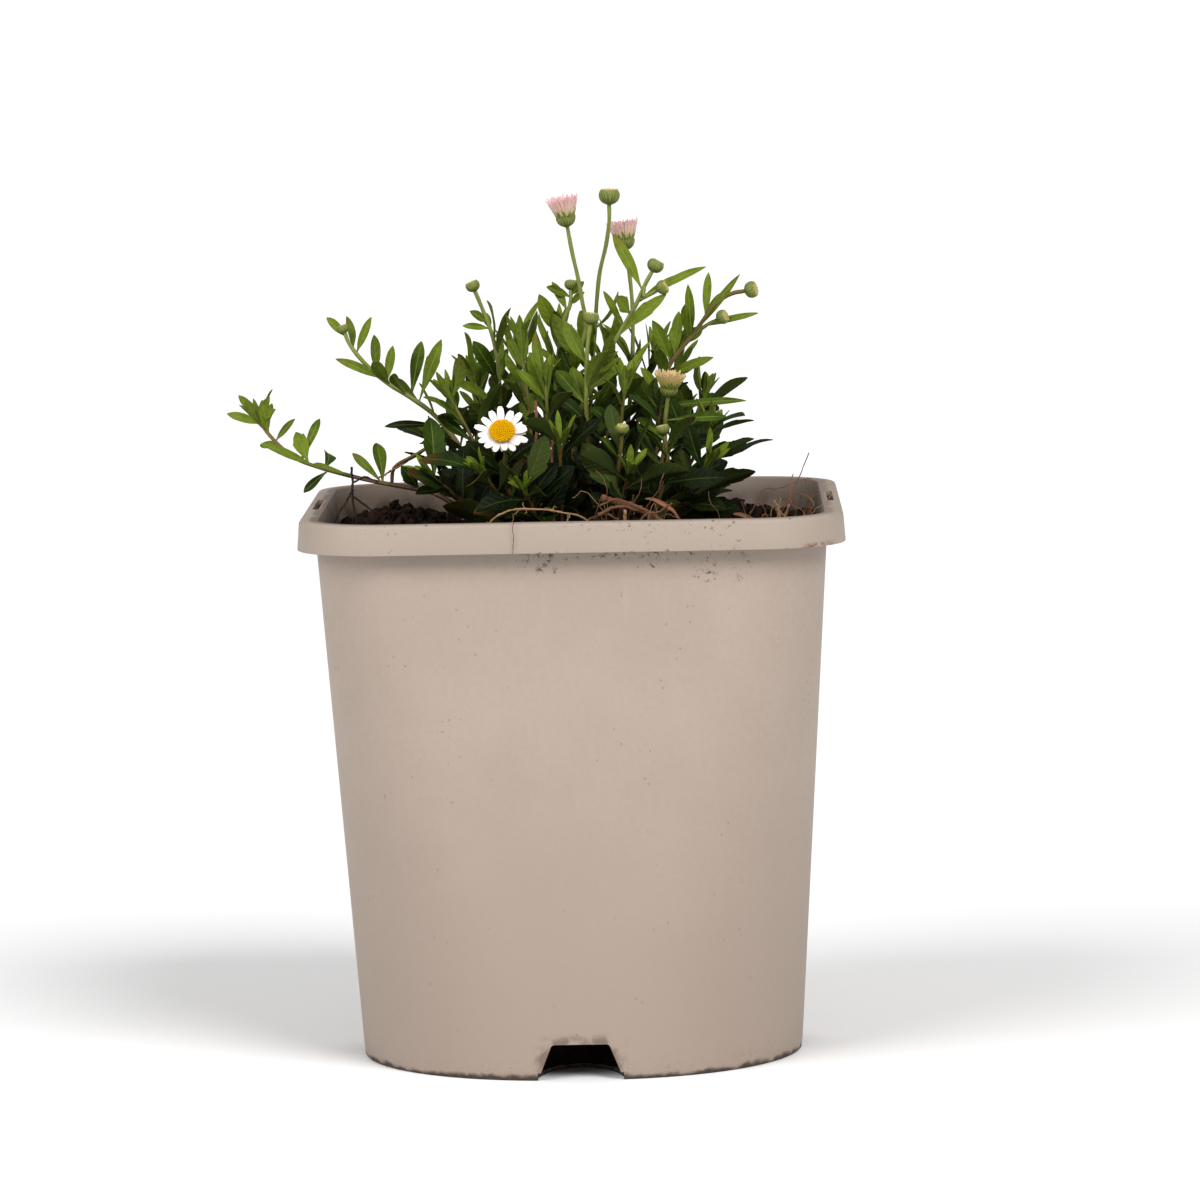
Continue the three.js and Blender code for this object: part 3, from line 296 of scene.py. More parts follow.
class Finish:
    """One material, built from nodes."""

    def __init__(self, name):
        self.material = bpy.data.materials.new(name)
        self.material.use_nodes = True
        self.tree = self.material.node_tree
        self.tree.nodes.clear()

    def feed(self, socket, value):
        if isinstance(value, Signal):
            self.tree.links.new(value.socket, socket)
        elif socket.type == "VECTOR" and not hasattr(value, "__len__"):
            socket.default_value = (value, value, value)
        else:
            socket.default_value = value

    def node(self, kind, settings=None, inputs=None, output=0):
        made = self.tree.nodes.new("ShaderNode" + kind)
        for name, value in (settings or {}).items():
            setattr(made, name, value)
        for key, value in (inputs or {}).items():
            self.feed(made.inputs[key], value)
        return Signal(self, made.outputs[output])

    def place(self):
        """Where a point of the piece is, in millimetres."""
        return self.node("TexCoord", output="Object") * (1 / MM)

    def mark(self, name):
        """The three numbers that the piece carries at each point under a name."""
        return self.node("Attribute", {"attribute_name": name}, output="Vector").parts()

    def cloud(self, at, size, detail=2.0, roughness=0.5):
        """Soft noise from 0 to 1 whose blots are about so many millimetres wide."""
        inputs = {"Vector": at, "Scale": 1 / size, "Detail": detail, "Roughness": roughness}
        return self.node("TexNoise", None, inputs)

    def grit(self, at, size):
        """Distance to the nearest of many scattered points, in sizes."""
        return self.node("TexVoronoi", None, {"Vector": at, "Scale": 1 / size})

    def join(self, x, y, z):
        return self.node("CombineXYZ", None, {0: x, 1: y, 2: z})

    def blend(self, share, first, second):
        """The first colour at share 0 and the second at 1."""
        return self.node("Mix", {"data_type": "RGBA"}, {0: share, 6: first, 7: second}, output=2)

    def bump(self, height, depth, before=None):
        """Relief of a height from 0 to 1, so many millimetres deep."""
        inputs = {"Height": height, "Distance": depth * MM, "Strength": 1.0}
        if before is not None:
            inputs["Normal"] = before
        return self.node("Bump", None, inputs)

    def surface(self, colour, roughness, normal=None, gloss=0.0):
        shader = self.tree.nodes.new("ShaderNodeBsdfPrincipled")
        self.feed(shader.inputs["Base Color"], colour)
        self.feed(shader.inputs["Roughness"], roughness)
        if normal is not None:
            self.feed(shader.inputs["Normal"], normal)
        shader.inputs["Specular IOR Level"].default_value = gloss
        out = self.tree.nodes.new("ShaderNodeOutputMaterial")
        self.tree.links.new(shader.outputs[0], out.inputs["Surface"])
        return self.material


def pot_plastic():
    """Matt taupe plastic, a little mottled, with soil dust, scuffs and dirt where it was handled, and painted
    shade: darker towards the bottom and down the inside wall, more on the left, where it deepens damp stains
    near the soil.
    """
    finish = Finish("pot_plastic")
    at = finish.place()
    x, y, z = at.parts()
    front = y.ease(-52, -60)
    mottle = finish.cloud(at, 26, 3)
    fine = finish.cloud(at, 1.6, 3, 0.7)
    streaks = finish.cloud(at * finish.join(1.0, 1.0, 0.12), 3.5, 2)
    colour = finish.blend(mottle.ease(0.3, 0.7), linear(166, 150, 137), linear(170, 154, 141))
    colour = finish.blend(fine.ease(0.35, 0.75) * 0.25, colour, linear(156, 138, 125))
    colour = finish.blend(streaks.ease(0.55, 0.8) * 0.15, colour, linear(180, 165, 152))
    # painted shade: the body is darker towards the bottom
    colour = finish.blend(z.ease(115, 0) * 0.9, colour, linear(154, 138, 125))
    rim = z.ease(145.8, 146.4)
    colour = finish.blend(rim * 0.5, colour, linear(160, 147, 134))

    inner = finish.node("VectorMath", {"operation": "LENGTH"}, {0: at * finish.join(1, 1, 0)}, output="Value")
    outward = finish.node("NewGeometry", output="Normal") * finish.join(1, 1, 0)
    facing = finish.node("VectorMath", {"operation": "DOT_PRODUCT"}, {0: outward, 1: at}, output="Value")
    inside = facing.ease(0, -8) * inner.ease(20, 30)
    # damp stains towards the soil, deepened as painted shade and more so on the left
    damp_stain_and_shade = inside * finish.cloud(at, 7, 3).ease(0.25, 0.7) * z.ease(154.5, 146)
    left = x.ease(0, -60)
    # painted shade: the inside wall is darker, more so on the left
    colour = finish.blend(inside * (left * 0.3 + 0.5), colour, linear(104, 88, 75))
    colour = finish.blend(damp_stain_and_shade * (left * 0.3 + 0.7), colour, linear(60, 44, 32))

    specks = finish.grit(at, 2.3).ease(0.17, 0.1)
    rare = finish.cloud(at, 9, 2).ease(0.56, 0.66)
    colour = finish.blend(specks * rare * 0.55, colour, linear(120, 96, 80))
    grains = finish.cloud(at, 1.15, 5, 0.78)
    splash = 0.0
    for low_x, high_x, low_z, high_z, most in (
        (-13, -3, 141.5, 146.5, 1.5),
        (-1, 27, 144.2, 146.6, 0.7),
        (17, 27, 142, 146.3, 1.0),
        (33, 48, 138, 146.4, 0.75),
        (-2, 46, 152.6, 155, 0.5),
        (12, 46, 146.5, 153, 0.14),
        (40, 46, 146.5, 150.5, 0.3),
    ):
        window = x.ease(low_x - 3, low_x + 2) * x.ease(high_x + 3, high_x - 2)
        window = window * z.ease(low_z - 2, low_z + 1.2) * z.ease(high_z + 0.8, high_z - 0.8)
        splash = window * most + splash
    patches = finish.cloud(at, 2.4, 2).ease(0.42, 0.62)
    splash = splash * front
    dirt = (grains + splash * 0.07).ease(0.6, 0.64) * splash.ease(0.05, 0.3) * patches
    colour = finish.blend(dirt * 0.85, colour, linear(62, 46, 36))

    ragged = finish.cloud(at, 4.5, 3)
    foot = (z + ragged * 3.6).ease(3.9, 2.3)
    colour = finish.blend(foot * 0.9, colour, linear(38, 26, 20))
    scuff = (z + ragged * 16).ease(15, 7) * finish.cloud(at, 0.9, 2).ease(0.5, 0.7)
    colour = finish.blend(scuff * 0.35, colour, linear(120, 92, 76))
    lip = (z.ease(9.4, 10.4) * z.ease(13.5, 10.8) * x.ease(-12, -8) * x.ease(14, 9)) * front
    colour = finish.blend(lip * ragged.ease(0.42, 0.62) * 0.6, colour, linear(74, 54, 44))
    sides = (z.ease(10.5, 8.5) * abs(x).ease(13.4, 12.0) * abs(x).ease(6.8, 8.2)) * front
    colour = finish.blend(sides * ragged.ease(0.35, 0.6) * 0.6, colour, linear(74, 54, 44))
    corner = x.ease(62, 65) * z.ease(145.6, 145.9) * z.ease(147.9, 146.6) * y.ease(-60, -66)
    colour = finish.blend(corner * grains.ease(0.44, 0.54) * 0.85, colour, linear(112, 60, 38))

    seam = (abs(x + 57.5).ease(0.35, 0.1) * y.ease(-70, -73) * rim) * 0.1
    colour = finish.blend(seam, colour, linear(150, 132, 118))
    height = fine * 0.5 + finish.cloud(at, 0.5, 2, 0.6) * 0.5
    normal = finish.bump(height, 0.05)
    normal = finish.bump(mottle + finish.cloud(at, 8, 2) * 0.5, 0.12, normal)
    roughness = fine * 0.12 + 0.5 + foot * 0.3
    return finish.surface(colour, roughness, normal, gloss=0.42)


def potting_mix(name, low, high):
    """Dark damp peat with paler fibre in it."""
    finish = Finish(name)
    at = finish.place()
    kin = finish.mark("look")[0]
    clods = finish.cloud(at, 5, 4, 0.6)
    fibres = finish.cloud(at * finish.join(1.0, 0.35, 0.8), 0.7, 3, 0.7)
    colour = finish.blend(clods.ease(0.3, 0.7), low, high)
    colour = finish.blend((kin * 1.1).ease(0.6, 1.0) * 0.5, colour, linear(52, 34, 22))
    colour = finish.blend(fibres.ease(0.62, 0.75) * 0.4, colour, linear(78, 52, 34))
    normal = finish.bump(finish.cloud(at, 0.8, 4, 0.7) + clods * 0.5, 0.5)
    return finish.surface(colour, 0.9 - clods * 0.15, normal, gloss=0.12)


def leaf_green():
    """Leaf skin: dark and bluish low on the plant and at the back, partly from age and partly painted shade,
    fresh green near the tips, with pale veins.
    """
    finish = Finish("leaf_green")
    at = finish.place()
    along, across, under = finish.mark("place")
    kin, youth_and_light, share = finish.mark("look")
    side = abs(across)
    # tone mixes the leaf's youth with painted shade: low and back leaves are painted darker
    tone = (youth_and_light + (finish.cloud(at, 9, 2) - 0.5) * 0.5 + (kin - 0.5) * 0.35).ease(0.0, 1.0)
    colour = finish.blend(tone.ease(0.0, 0.55), linear(6, 16, 1), linear(40, 60, 6))
    colour = finish.blend(tone.ease(0.5, 1.0), colour, linear(104, 122, 28))
    colour = finish.blend(finish.cloud(at, 1.8, 3).ease(0.4, 0.8) * 0.35, colour, linear(28, 42, 6))
    phase = along - side * 1.15 + kin * 5
    comb = (phase * (1 / 2.3)).math("PINGPONG", 0.5)
    lateral = comb.ease(0.07, 0.0) * side.ease(0.15, 0.5) * share.ease(0.98, 0.8)
    rib = side.ease(0.24, 0.08) * share.ease(1.0, 0.75)
    # veins fade where the painted shade darkens the leaf
    vein_strength = tone.ease(0.0, 0.7) * 0.7 + 0.3
    colour = finish.blend(lateral * vein_strength * 0.18, colour, linear(108, 126, 54))
    colour = finish.blend(rib * vein_strength * 0.45, colour, linear(130, 144, 70))
    colour = finish.blend(under * 0.4, colour, linear(84, 98, 44))
    blush = (kin.ease(0.85, 0.95) * share.ease(0.6, 1.0)) * 0.4
    colour = finish.blend(blush, colour, linear(104, 62, 32))
    spots = finish.cloud(at, 1.2, 2).ease(0.7, 0.78) * youth_and_light.ease(0.4, 0.1)
    colour = finish.blend(spots * 0.5, colour, linear(104, 92, 52))
    quilt = comb.ease(0.0, 0.32) * 0.7 + finish.cloud(at, 0.6, 2) * 0.4
    normal = finish.bump(quilt - rib * 0.5, 0.09)
    roughness = 0.46 + finish.cloud(at, 1.0, 2) * 0.16 + under * 0.2
    return finish.surface(colour, roughness, normal, gloss=0.1)


def stem_skin():
    """Stem skin: green toward the tip, brown and reddish toward the root, finely ribbed."""
    finish = Finish("stem_skin")
    at = finish.place()
    along, turn, _ = finish.mark("place")
    kin, green, _ = finish.mark("look")
    streak = finish.cloud(finish.join(along * 0.25, turn * 1.2, kin * 30), 1.2, 3)
    colour = finish.blend(green.ease(0.1, 0.5), linear(72, 42, 24), linear(104, 84, 36))
    colour = finish.blend(green.ease(0.45, 0.9), colour, linear(122, 132, 58))
    colour = finish.blend(streak.ease(0.45, 0.75) * 0.45, colour, linear(96, 58, 34))
    colour = finish.blend(finish.cloud(at, 2.5, 2).ease(0.5, 0.8) * 0.3, colour, linear(134, 144, 70))
    ribs = (turn * 3.0).math("SINE") * 0.5 + 0.5
    normal = finish.bump(ribs + streak, 0.06)
    return finish.surface(colour, 0.55, normal, gloss=0.4)


def bract_green():
    """Bracts of buds and cups: dark down the middle, paler and drier at the edges and tips."""
    finish = Finish("bract_green")
    at = finish.place()
    share, across, _ = finish.mark("place")
    kin, pale, _ = finish.mark("look")
    colour = finish.blend(kin, linear(82, 96, 34), linear(104, 116, 46))
    colour = finish.blend(abs(across).ease(0.35, 1.0) * 0.7, colour, linear(160, 162, 92))
    colour = finish.blend(share.ease(0.75, 1.0) * 0.6, colour, linear(160, 140, 78))
    colour = finish.blend(pale * 0.55, colour, linear(176, 172, 96))
    colour = finish.blend(share.ease(0.25, 0.0) * 0.5, colour, linear(56, 74, 22))
    normal = finish.bump(finish.cloud(at, 0.3, 2), 0.05)
    return finish.surface(colour, 0.6, normal, gloss=0.35)


def ray_skin(name, foot, body, tip, blot):
    """A ray's skin: a foot colour, a body colour, a tip colour, and fine lines along it."""
    finish = Finish(name)
    at = finish.place()
    share, across, under = finish.mark("place")
    kin = finish.mark("look")[0]
    lines = ((across * 9.0).math("SINE") * 0.5 + 0.5) * finish.cloud(at, 0.9, 2)
    colour = finish.blend(share.ease(0.15, 0.55), foot, body)
    colour = finish.blend(share.ease(0.5, 0.95) * (kin * 0.5 + 0.5), colour, tip)
    colour = finish.blend(lines.ease(0.3, 0.8) * 0.35, colour, blot)
    colour = finish.blend(under * 0.4, colour, blot)
    normal = finish.bump(lines, 0.07)
    return finish.surface(colour, 0.5, normal, gloss=0.3)


def disc_yellow():
    """Florets of the disc: warm yellow, deeper between them, and a little deeper all over."""
    finish = Finish("disc_yellow")
    at = finish.place()
    share, out, _ = finish.mark("place")
    kin = finish.mark("look")[0]
    colour = finish.blend(share.ease(0.0, 0.8), linear(168, 104, 0), linear(236, 188, 4))
    colour = finish.blend(kin.ease(0.5, 1.0) * 0.5, colour, linear(244, 200, 14))
    colour = finish.blend(out.ease(0.35, 0.0) * 0.4, colour, linear(216, 160, 0))
    normal = finish.bump(finish.cloud(at, 0.25, 2), 0.06)
    return finish.surface(colour, 0.7, normal, gloss=0.1)


def dry_fibre(name, dark, pale, red):
    """Dead roots, sticks and bark: streaked along their length."""
    finish = Finish(name)
    at = finish.place()
    along, turn, _ = finish.mark("place")
    kin, _, share = finish.mark("look")
    streak = finish.cloud(finish.join(along * 0.2, turn * 1.5, kin * 40), 0.8, 3, 0.65)
    colour = finish.blend(streak.ease(0.3, 0.7), dark, pale)
    colour = finish.blend(kin.ease(0.4, 1.0) * 0.6, colour, red)
    colour = finish.blend(finish.cloud(at, 3, 3).ease(0.5, 0.75) * 0.4, colour, dark)
    colour = finish.blend(share.ease(0.97, 1.0) * 0.4, colour, pale)
    normal = finish.bump(streak, 0.12)
    return finish.surface(colour, 0.75, normal, gloss=0.3)


def studio_floor():
    finish = Finish("studio_floor")
    at = finish.place()
    colour = finish.blend(finish.cloud(at, 900, 1), linear(252, 252, 252), linear(254, 254, 254))
    return finish.surface(colour, 0.9)


# Layout: the curves of the stems, the soil's height and where every leaf goes

def draws(seed):
    """Numbers from 0 to 1, always the same ones for a seed."""
    mask = 0xFFFFFFFF
    state = seed & mask

    def draw():
        nonlocal state
        state = (state + 0x6D2B79F5) & mask
        mixed = ((state ^ (state >> 15)) * (state | 1)) & mask
        mixed = ((mixed + (((mixed ^ (mixed >> 7)) * (mixed | 61)) & mask)) & mask) ^ mixed
        return (mixed ^ (mixed >> 14)) / 4294967296

    return draw


class Path:
    """A smooth curve through given points, from 0 at its start to 1 at its end."""

    def __init__(self, points):
        self.points = [np.array(point, float) for point in points]

    def at(self, share):
        points = self.points
        where = (len(points) - 1) * share
        step = math.floor(where)
        part = where - step
        if part == 0 and step == len(points) - 1:
            step, part = len(points) - 2, 1.0
        b, c = points[step], points[step + 1]
        a = points[step - 1] if step > 0 else (points[0] - points[1]) + points[0]
        d = points[step + 2] if step + 2 < len(points) else (points[-1] - points[-2]) + points[-1]
        start, end = 0.5 * (c - a), 0.5 * (d - b)
        bent = (2 * b - 2 * c + start + end) * part**3
        return bent + (-3 * b + 3 * c - 2 * start - end) * part**2 + start * part + b

    def way(self, share):
        return unit(self.at(min(1.0, share + 1e-4)) - self.at(max(0.0, share - 1e-4)))

    def length(self):
        steps = np.diff(self.many(201), axis=0)
        return float(np.sum(np.linalg.norm(steps, axis=1)))

    def many(self, count, low=0.0, high=1.0):
        return np.array([self.at(low + (high - low) * i / (count - 1)) for i in range(count)])


def soil_lumps():
    draw = draws(SOIL_SEED)
    lumps = []
    for _ in range(SOIL_LUMPS):
        x = (draw() * 2 - 1) * SOIL_REACH
        y = (draw() * 2 - 1) * SOIL_REACH
        spread = 4 + draw() * 6
        lumps.append((x, y, spread, (draw() - 0.4) * 3.2))
    return np.array(lumps + list(HEAPS))


LUMPS = soil_lumps()


def soil_height(x, y):
    """Height of the soil's surface at a place, or at many."""
    x, y = np.asarray(x, float)[..., None], np.asarray(y, float)[..., None]
    away = ((x - LUMPS[:, 0]) ** 2 + (y - LUMPS[:, 1]) ** 2) / LUMPS[:, 2] ** 2
    z = SOIL_LEVEL + np.sum(LUMPS[:, 3] * np.exp(-away), axis=-1)
    return np.clip(z, SOIL_LEVEL - SOIL_DIP, SOIL_LEVEL + SOIL_RISE)


def stem_path(stem):
    x, y = stem.foot
    floor = math.floor(float(soil_height(x, y)) + 0.5)
    start = [(x, y, floor + rise) for rise in (-FOOT_DEPTH, -FOOT_DEPTH / 2, STEM_RISE)]
    if stem.points:
        return Path(start + stem.points)
    tip = np.array(stem.tip, float)
    bow = (np.array(start[2], float) + tip) / 2
    bow[:2] -= STEM_BOW * (tip[:2] - stem.foot)
    return Path([*start, bow, tip])


def way_of(stem):
    """The direction that a stem's bud or head looks in."""
    return DAISY_WAY if stem.head == "daisy" else stem.curve.way(1)


def leaf_between(root, tip, look, width, kind, arch):
    """A leaf from root to tip whose face looks as far along a direction as it can."""
    way = unit(tip - root)
    start = root - way * ROOT_SINK
    side = unit(np.cross(way, look))
    face = unit(np.cross(side, way))
    length = float(np.linalg.norm(tip - start))
    return SimpleNamespace(
        root=start, way=way, side=side, face=face,
        length=length, width=width, kind=kind, arch=arch, traced=False,
    )


def to_thousandth(points):
    return np.floor(np.asarray(points) * 1000 + 0.5) / 1000


def leaf_samples(leaf):
    rows = math.ceil(leaf.length / SAMPLE_STEP)
    columns = math.ceil(leaf.width / 2 / SAMPLE_STEP)
    places = []
    for row in range(rows + 1):
        along = row / rows
        if along * leaf.length < LEAF_START:
            continue
        spread = min(1, along * 2.2, (1 - along) * 3.5)
        for column in range(-columns, columns + 1):
            if spread < 0.5 and column % 2 != 0:
                continue
            places.append((along, (column / columns) * spread))
    along, across = np.array(places).T[:, :, None]
    rise = leaf.arch * leaf.length * (along - along * along)
    points = leaf.root + leaf.way * (leaf.length * along)
    return to_thousandth(points + leaf.side * (across * leaf.width / 2) + leaf.face * rise)


def head_samples(curve, way, reach, height, lean):
    end = curve.at(1)
    side = unit(np.cross(way, HEAD_SIDE))
    other = np.cross(way, side)
    points = []
    rise = 0.0
    while rise <= height:
        out = reach + rise * lean
        while out > 0:
            count = math.ceil(math.pi * 2 * out / SAMPLE_STEP)
            angle = (np.arange(count) / count * math.pi * 2)[:, None]
            ring = side * (out * np.cos(angle)) + other * (out * np.sin(angle))
            points.append(end + way * rise + ring)
            out -= SAMPLE_STEP
        rise += SAMPLE_STEP
    return to_thousandth(np.concatenate(points))


def curve_samples(curve):
    return to_thousandth(curve.many(math.ceil(curve.length()) + 1))


class Taken:
    """Places that already hold a leaf, a stem or a head."""

    def __init__(self):
        self.points = np.zeros((120000, 3))
        self.owners = np.zeros(120000, int)
        self.count = 0

    def take(self, points, owner):
        end = self.count + len(points)
        self.points[self.count : end] = points
        self.owners[self.count : end] = owner
        self.count = end

    def is_clear(self, points, owner, other_limit=LEAF_CLEARANCE, own_limit=OWN_CLEARANCE):
        low, high = points.min(0) - other_limit, points.max(0) + other_limit
        near = self.points[: self.count]
        chosen = np.all((near > low) & (near < high), axis=1)
        near, owners = near[chosen], self.owners[: self.count][chosen]
        if not len(near):
            return True
        limits = np.where(owners == owner, own_limit, other_limit) ** 2
        away = ((points[:, None, :] - near[None, :, :]) ** 2).sum(-1)
        return not bool(np.any(away < limits))


def is_above_pot(points):
    out = np.max(np.abs(points[:, :2]), axis=1)
    ground = np.where(out > 62, POT_HEIGHT, soil_height(points[:, 0], points[:, 1]))
    return bool(np.all((out > 78) | (points[:, 2] > ground + LEAF_HEADROOM)))


def kind_of(width, five, three):
    return "five" if width > five else "three" if width > three else "narrow"


def ruled_leaf(stem, at, turn, size, shrink=1.0):
    root = stem.curve.at(at)
    tangent = stem.curve.way(at)
    out = np.array([math.cos(turn), math.sin(turn), 0.0])
    out = unit(out - tangent * np.dot(out, tangent))
    height = min(1.0, max(0.0, (root[2] - 150) / 48))
    rise = 0.5 + 0.8 * height * height + 0.55 * size.lift
    out = unit(out + tangent * (rise * 0.6) + UP * (rise * 0.5))
    low = 1 - height
    length = (11.5 + 6 * low + 4 * size.length) * stem.small * shrink
    width = (3.8 + 4.2 * low * low + 1.3 * size.width) * stem.small * shrink
    lean = size.twist * math.pi * 2
    look = np.array([0.9 * math.cos(lean), 0.9 * math.sin(lean), 1.0])
    kind = kind_of(width, 7.2, 5.4)
    return leaf_between(root, root + out * length, look, width, kind, 0.32 - 0.3 * size.lift)


def place_leaves(stems):
    """The traced leaves, then the rule's, one round at a time, then smaller ones between them."""
    draw = draws(LEAF_SEED)
    taken = Taken()
    for owner, stem in enumerate(stems):
        taken.take(curve_samples(stem.curve), owner)
        if stem.branch:
            taken.take(curve_samples(stem.branch_curve), owner)
        way = way_of(stem)
        if stem.bud:
            taken.take(head_samples(stem.curve, way, stem.bud, stem.bud * 1.6, 0), owner)
        if stem.head:
            taken.take(head_samples(stem.curve, way, *HEADS[stem.head].room), owner)
        stem.blades, stem.extra = [], []
    for owner, stem in enumerate(stems):
        for at, x, y, z, width in stem.traced:
            root = stem.curve.at(at)
            kind = kind_of(width, 6, 4.1)
            leaf = leaf_between(root, np.array([x, y, z], float), SHOWN_FACE, width * 1.2, kind, 0.14)
            samples = leaf_samples(leaf)
            leaf.traced = True
            if taken.is_clear(samples, owner):
                taken.take(samples, owner)
                stem.blades.append(leaf)
            else:
                stem.extra.append(leaf)
    for step in range(max(stem.leaves for stem in stems)):
        for owner, stem in enumerate(stems):
            size = SimpleNamespace(length=draw(), width=draw(), lift=draw(), twist=draw())
            if step >= stem.leaves:
                continue
            at = stem.leaf_to - ((stem.leaf_to - stem.leaf_from) * step) / stem.leaves
            turn = step * GOLDEN_TURN + owner * 1.3
            for spin in SPINS:
                leaf = ruled_leaf(stem, at, turn + spin, size)
                samples = leaf_samples(leaf)
                if is_above_pot(samples) and taken.is_clear(samples, owner):
                    taken.take(samples, owner)
                    stem.blades.append(leaf)
                    break
    for step in range(SMALL_ROUNDS):
        for owner, stem in enumerate(stems):
            size = SimpleNamespace(length=draw(), width=draw(), lift=draw(), twist=draw())
            shrink = 0.5 + 0.35 * draw()
            if owner < RUNNERS:
                continue
            at = stem.leaf_from + (stem.leaf_to - stem.leaf_from) * ((step * 0.618 + 0.3) % 1.0)
            turn = step * GOLDEN_TURN + owner * 1.3 + 1.2
            for spin in SPINS[:SMALL_SPINS]:
                leaf = ruled_leaf(stem, at, turn + spin, size, shrink)
                samples = leaf_samples(leaf)
                limits = SMALL_CLEARANCE, SMALL_OWN_CLEARANCE
                if is_above_pot(samples) and taken.is_clear(samples, owner, *limits):
                    taken.take(samples, owner)
                    stem.extra.append(leaf)
                    break


# Forms

def weave(rows, columns, closed=False):
    """Four-sided faces of a net of points, row by row; a closed net joins its two side columns."""
    wide = columns if closed else columns - 1
    row, column = np.meshgrid(np.arange(rows - 1), np.arange(wide), indexing="ij")
    after = (column + 1) % columns
    a, b = row * columns + column, row * columns + after
    return np.stack([a, b, b + columns, a + columns], -1).reshape(-1, 4)


def closed_faces(count, sides):
    """Faces through rings of points, with a fan to a middle point at each end."""
    around = np.arange(sides)
    after = (around + 1) % sides
    tip, last = count * sides, (count - 1) * sides
    near = np.stack([np.full(sides, tip), after, around], -1)
    far = np.stack([np.full(sides, tip + 1), last + around, last + after], -1)
    return [weave(count, sides, True), near, far]


def loft(rings):
    """A closed form through rings of equal length."""
    ends = [rings[0].mean(0), rings[-1].mean(0)]
    return np.concatenate([*rings, ends]), closed_faces(len(rings), len(rings[0]))


class Form:
    """Points and faces gathered into one piece, with the marks that its finishes read."""

    def __init__(self):
        self.points, self.places, self.looks = [], [], []
        self.faces, self.finishes = [], []
        self.count = 0

    def add(self, points, faces, finish=0, place=(0, 0, 0), look=(0, 0, 0)):
        points = np.asarray(points, float).reshape(-1, 3)
        self.points.append(points)
        self.places.append(np.broadcast_to(np.asarray(place, float), points.shape))
        self.looks.append(np.broadcast_to(np.asarray(look, float), points.shape))
        for group in faces:
            group = np.asarray(group) + self.count
            self.faces.extend(group.tolist())
            self.finishes.extend([finish] * len(group))
        self.count += len(points)

    def mesh(self, name):
        mesh = bpy.data.meshes.new(name)
        points = np.concatenate(self.points)
        mesh.from_pydata((points * MM).tolist(), [], self.faces)
        mesh.polygons.foreach_set("material_index", np.array(self.finishes, np.int32))
        for mark, values in (("place", self.places), ("look", self.looks)):
            layer = mesh.attributes.new(mark, "FLOAT_VECTOR", "POINT")
            layer.data.foreach_set("vector", np.concatenate(values).astype(np.float32).ravel())
        mesh.update()
        return mesh

    def piece(self, name, finishes, slot, nodes, angle):
        piece_of(self.mesh(name), name, finishes, nodes, angle)


def put(name, data):
    """A new object in the scene."""
    made = bpy.data.objects.new(name, data)
    bpy.context.scene.collection.objects.link(made)
    return made


def piece_of(mesh, name, finishes, nodes, angle):
    """A piece of the visual model, sharp only where its faces meet at more than an angle."""
    for finish in finishes:
        mesh.materials.append(finish)
    mesh.polygons.foreach_set("use_smooth", [True] * len(mesh.polygons))
    mesh.set_sharp_from_angle(angle=math.radians(angle))
    piece = put(name, mesh)
    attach(piece, "root")
    if nodes:
        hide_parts(*nodes)


def frames(path):
    """Directions along a path, and two steady ones across it."""
    ways = np.gradient(path, axis=0)
    ways /= np.linalg.norm(ways, axis=1)[:, None]
    side = np.cross(ways[0], UP if abs(ways[0][2]) < 0.9 else [1.0, 0, 0])
    sides = []
    for way in ways:
        side = unit(side - way * np.dot(side, way))
        sides.append(side)
    sides = np.array(sides)
    return ways, sides, np.cross(ways, sides)


def add_tube(form, path, radii, sides, finish, look):
    """A closed round bar along a path. Its marks are the length so far and the angle round it."""
    path = np.asarray(path, float)
    count = len(path)
    radii = np.broadcast_to(np.asarray(radii, float), (count,))
    ways, first, second = frames(path)
    turn = np.arange(sides) / sides * 2 * math.pi
    ring = first[:, None, :] * np.cos(turn)[None, :, None] + second[:, None, :] * np.sin(turn)[None, :, None]
    points = (path[:, None, :] + ring * radii[:, None, None]).reshape(-1, 3)
    arc = np.concatenate([[0], np.cumsum(np.linalg.norm(np.diff(path, axis=0), axis=1))])
    place = np.stack(np.broadcast_arrays(arc[:, None], turn[None, :], radii[:, None]), -1).reshape(-1, 3)
    look = np.broadcast_to(np.asarray(look, float), (count, 3))
    looks = np.repeat(look, sides, axis=0)
    ends = [path[0] - ways[0] * radii[0] * 0.4, path[-1] + ways[-1] * radii[-1] * 0.4]
    form.add(
        np.concatenate([points, ends]),
        closed_faces(count, sides),
        finish,
        np.concatenate([place, [[0, 0, 0], [arc[-1], 0, 0]]]),
        np.concatenate([looks, [look[0], look[-1]]]),
    )


def add_shell(form, top, under, finish, place, under_place, look):
    """A thin closed sheet between two nets of points of one size."""
    rows, columns = top.shape[:2]
    size = rows * columns
    net = weave(rows, columns)
    index = np.arange(size).reshape(rows, columns)
    rim = np.concatenate([index[0], index[1:, -1], index[-1, -2::-1], index[-2:0:-1, 0]])
    ahead = np.roll(rim, -1)
    edge = np.stack([rim, rim + size, ahead + size, ahead], -1)
    form.add(
        np.concatenate([top.reshape(-1, 3), under.reshape(-1, 3)]),
        [net, net[:, ::-1] + size, edge],
        finish,
        np.concatenate([place.reshape(-1, 3), under_place.reshape(-1, 3)]),
        np.concatenate([look.reshape(-1, 3)] * 2),
    )


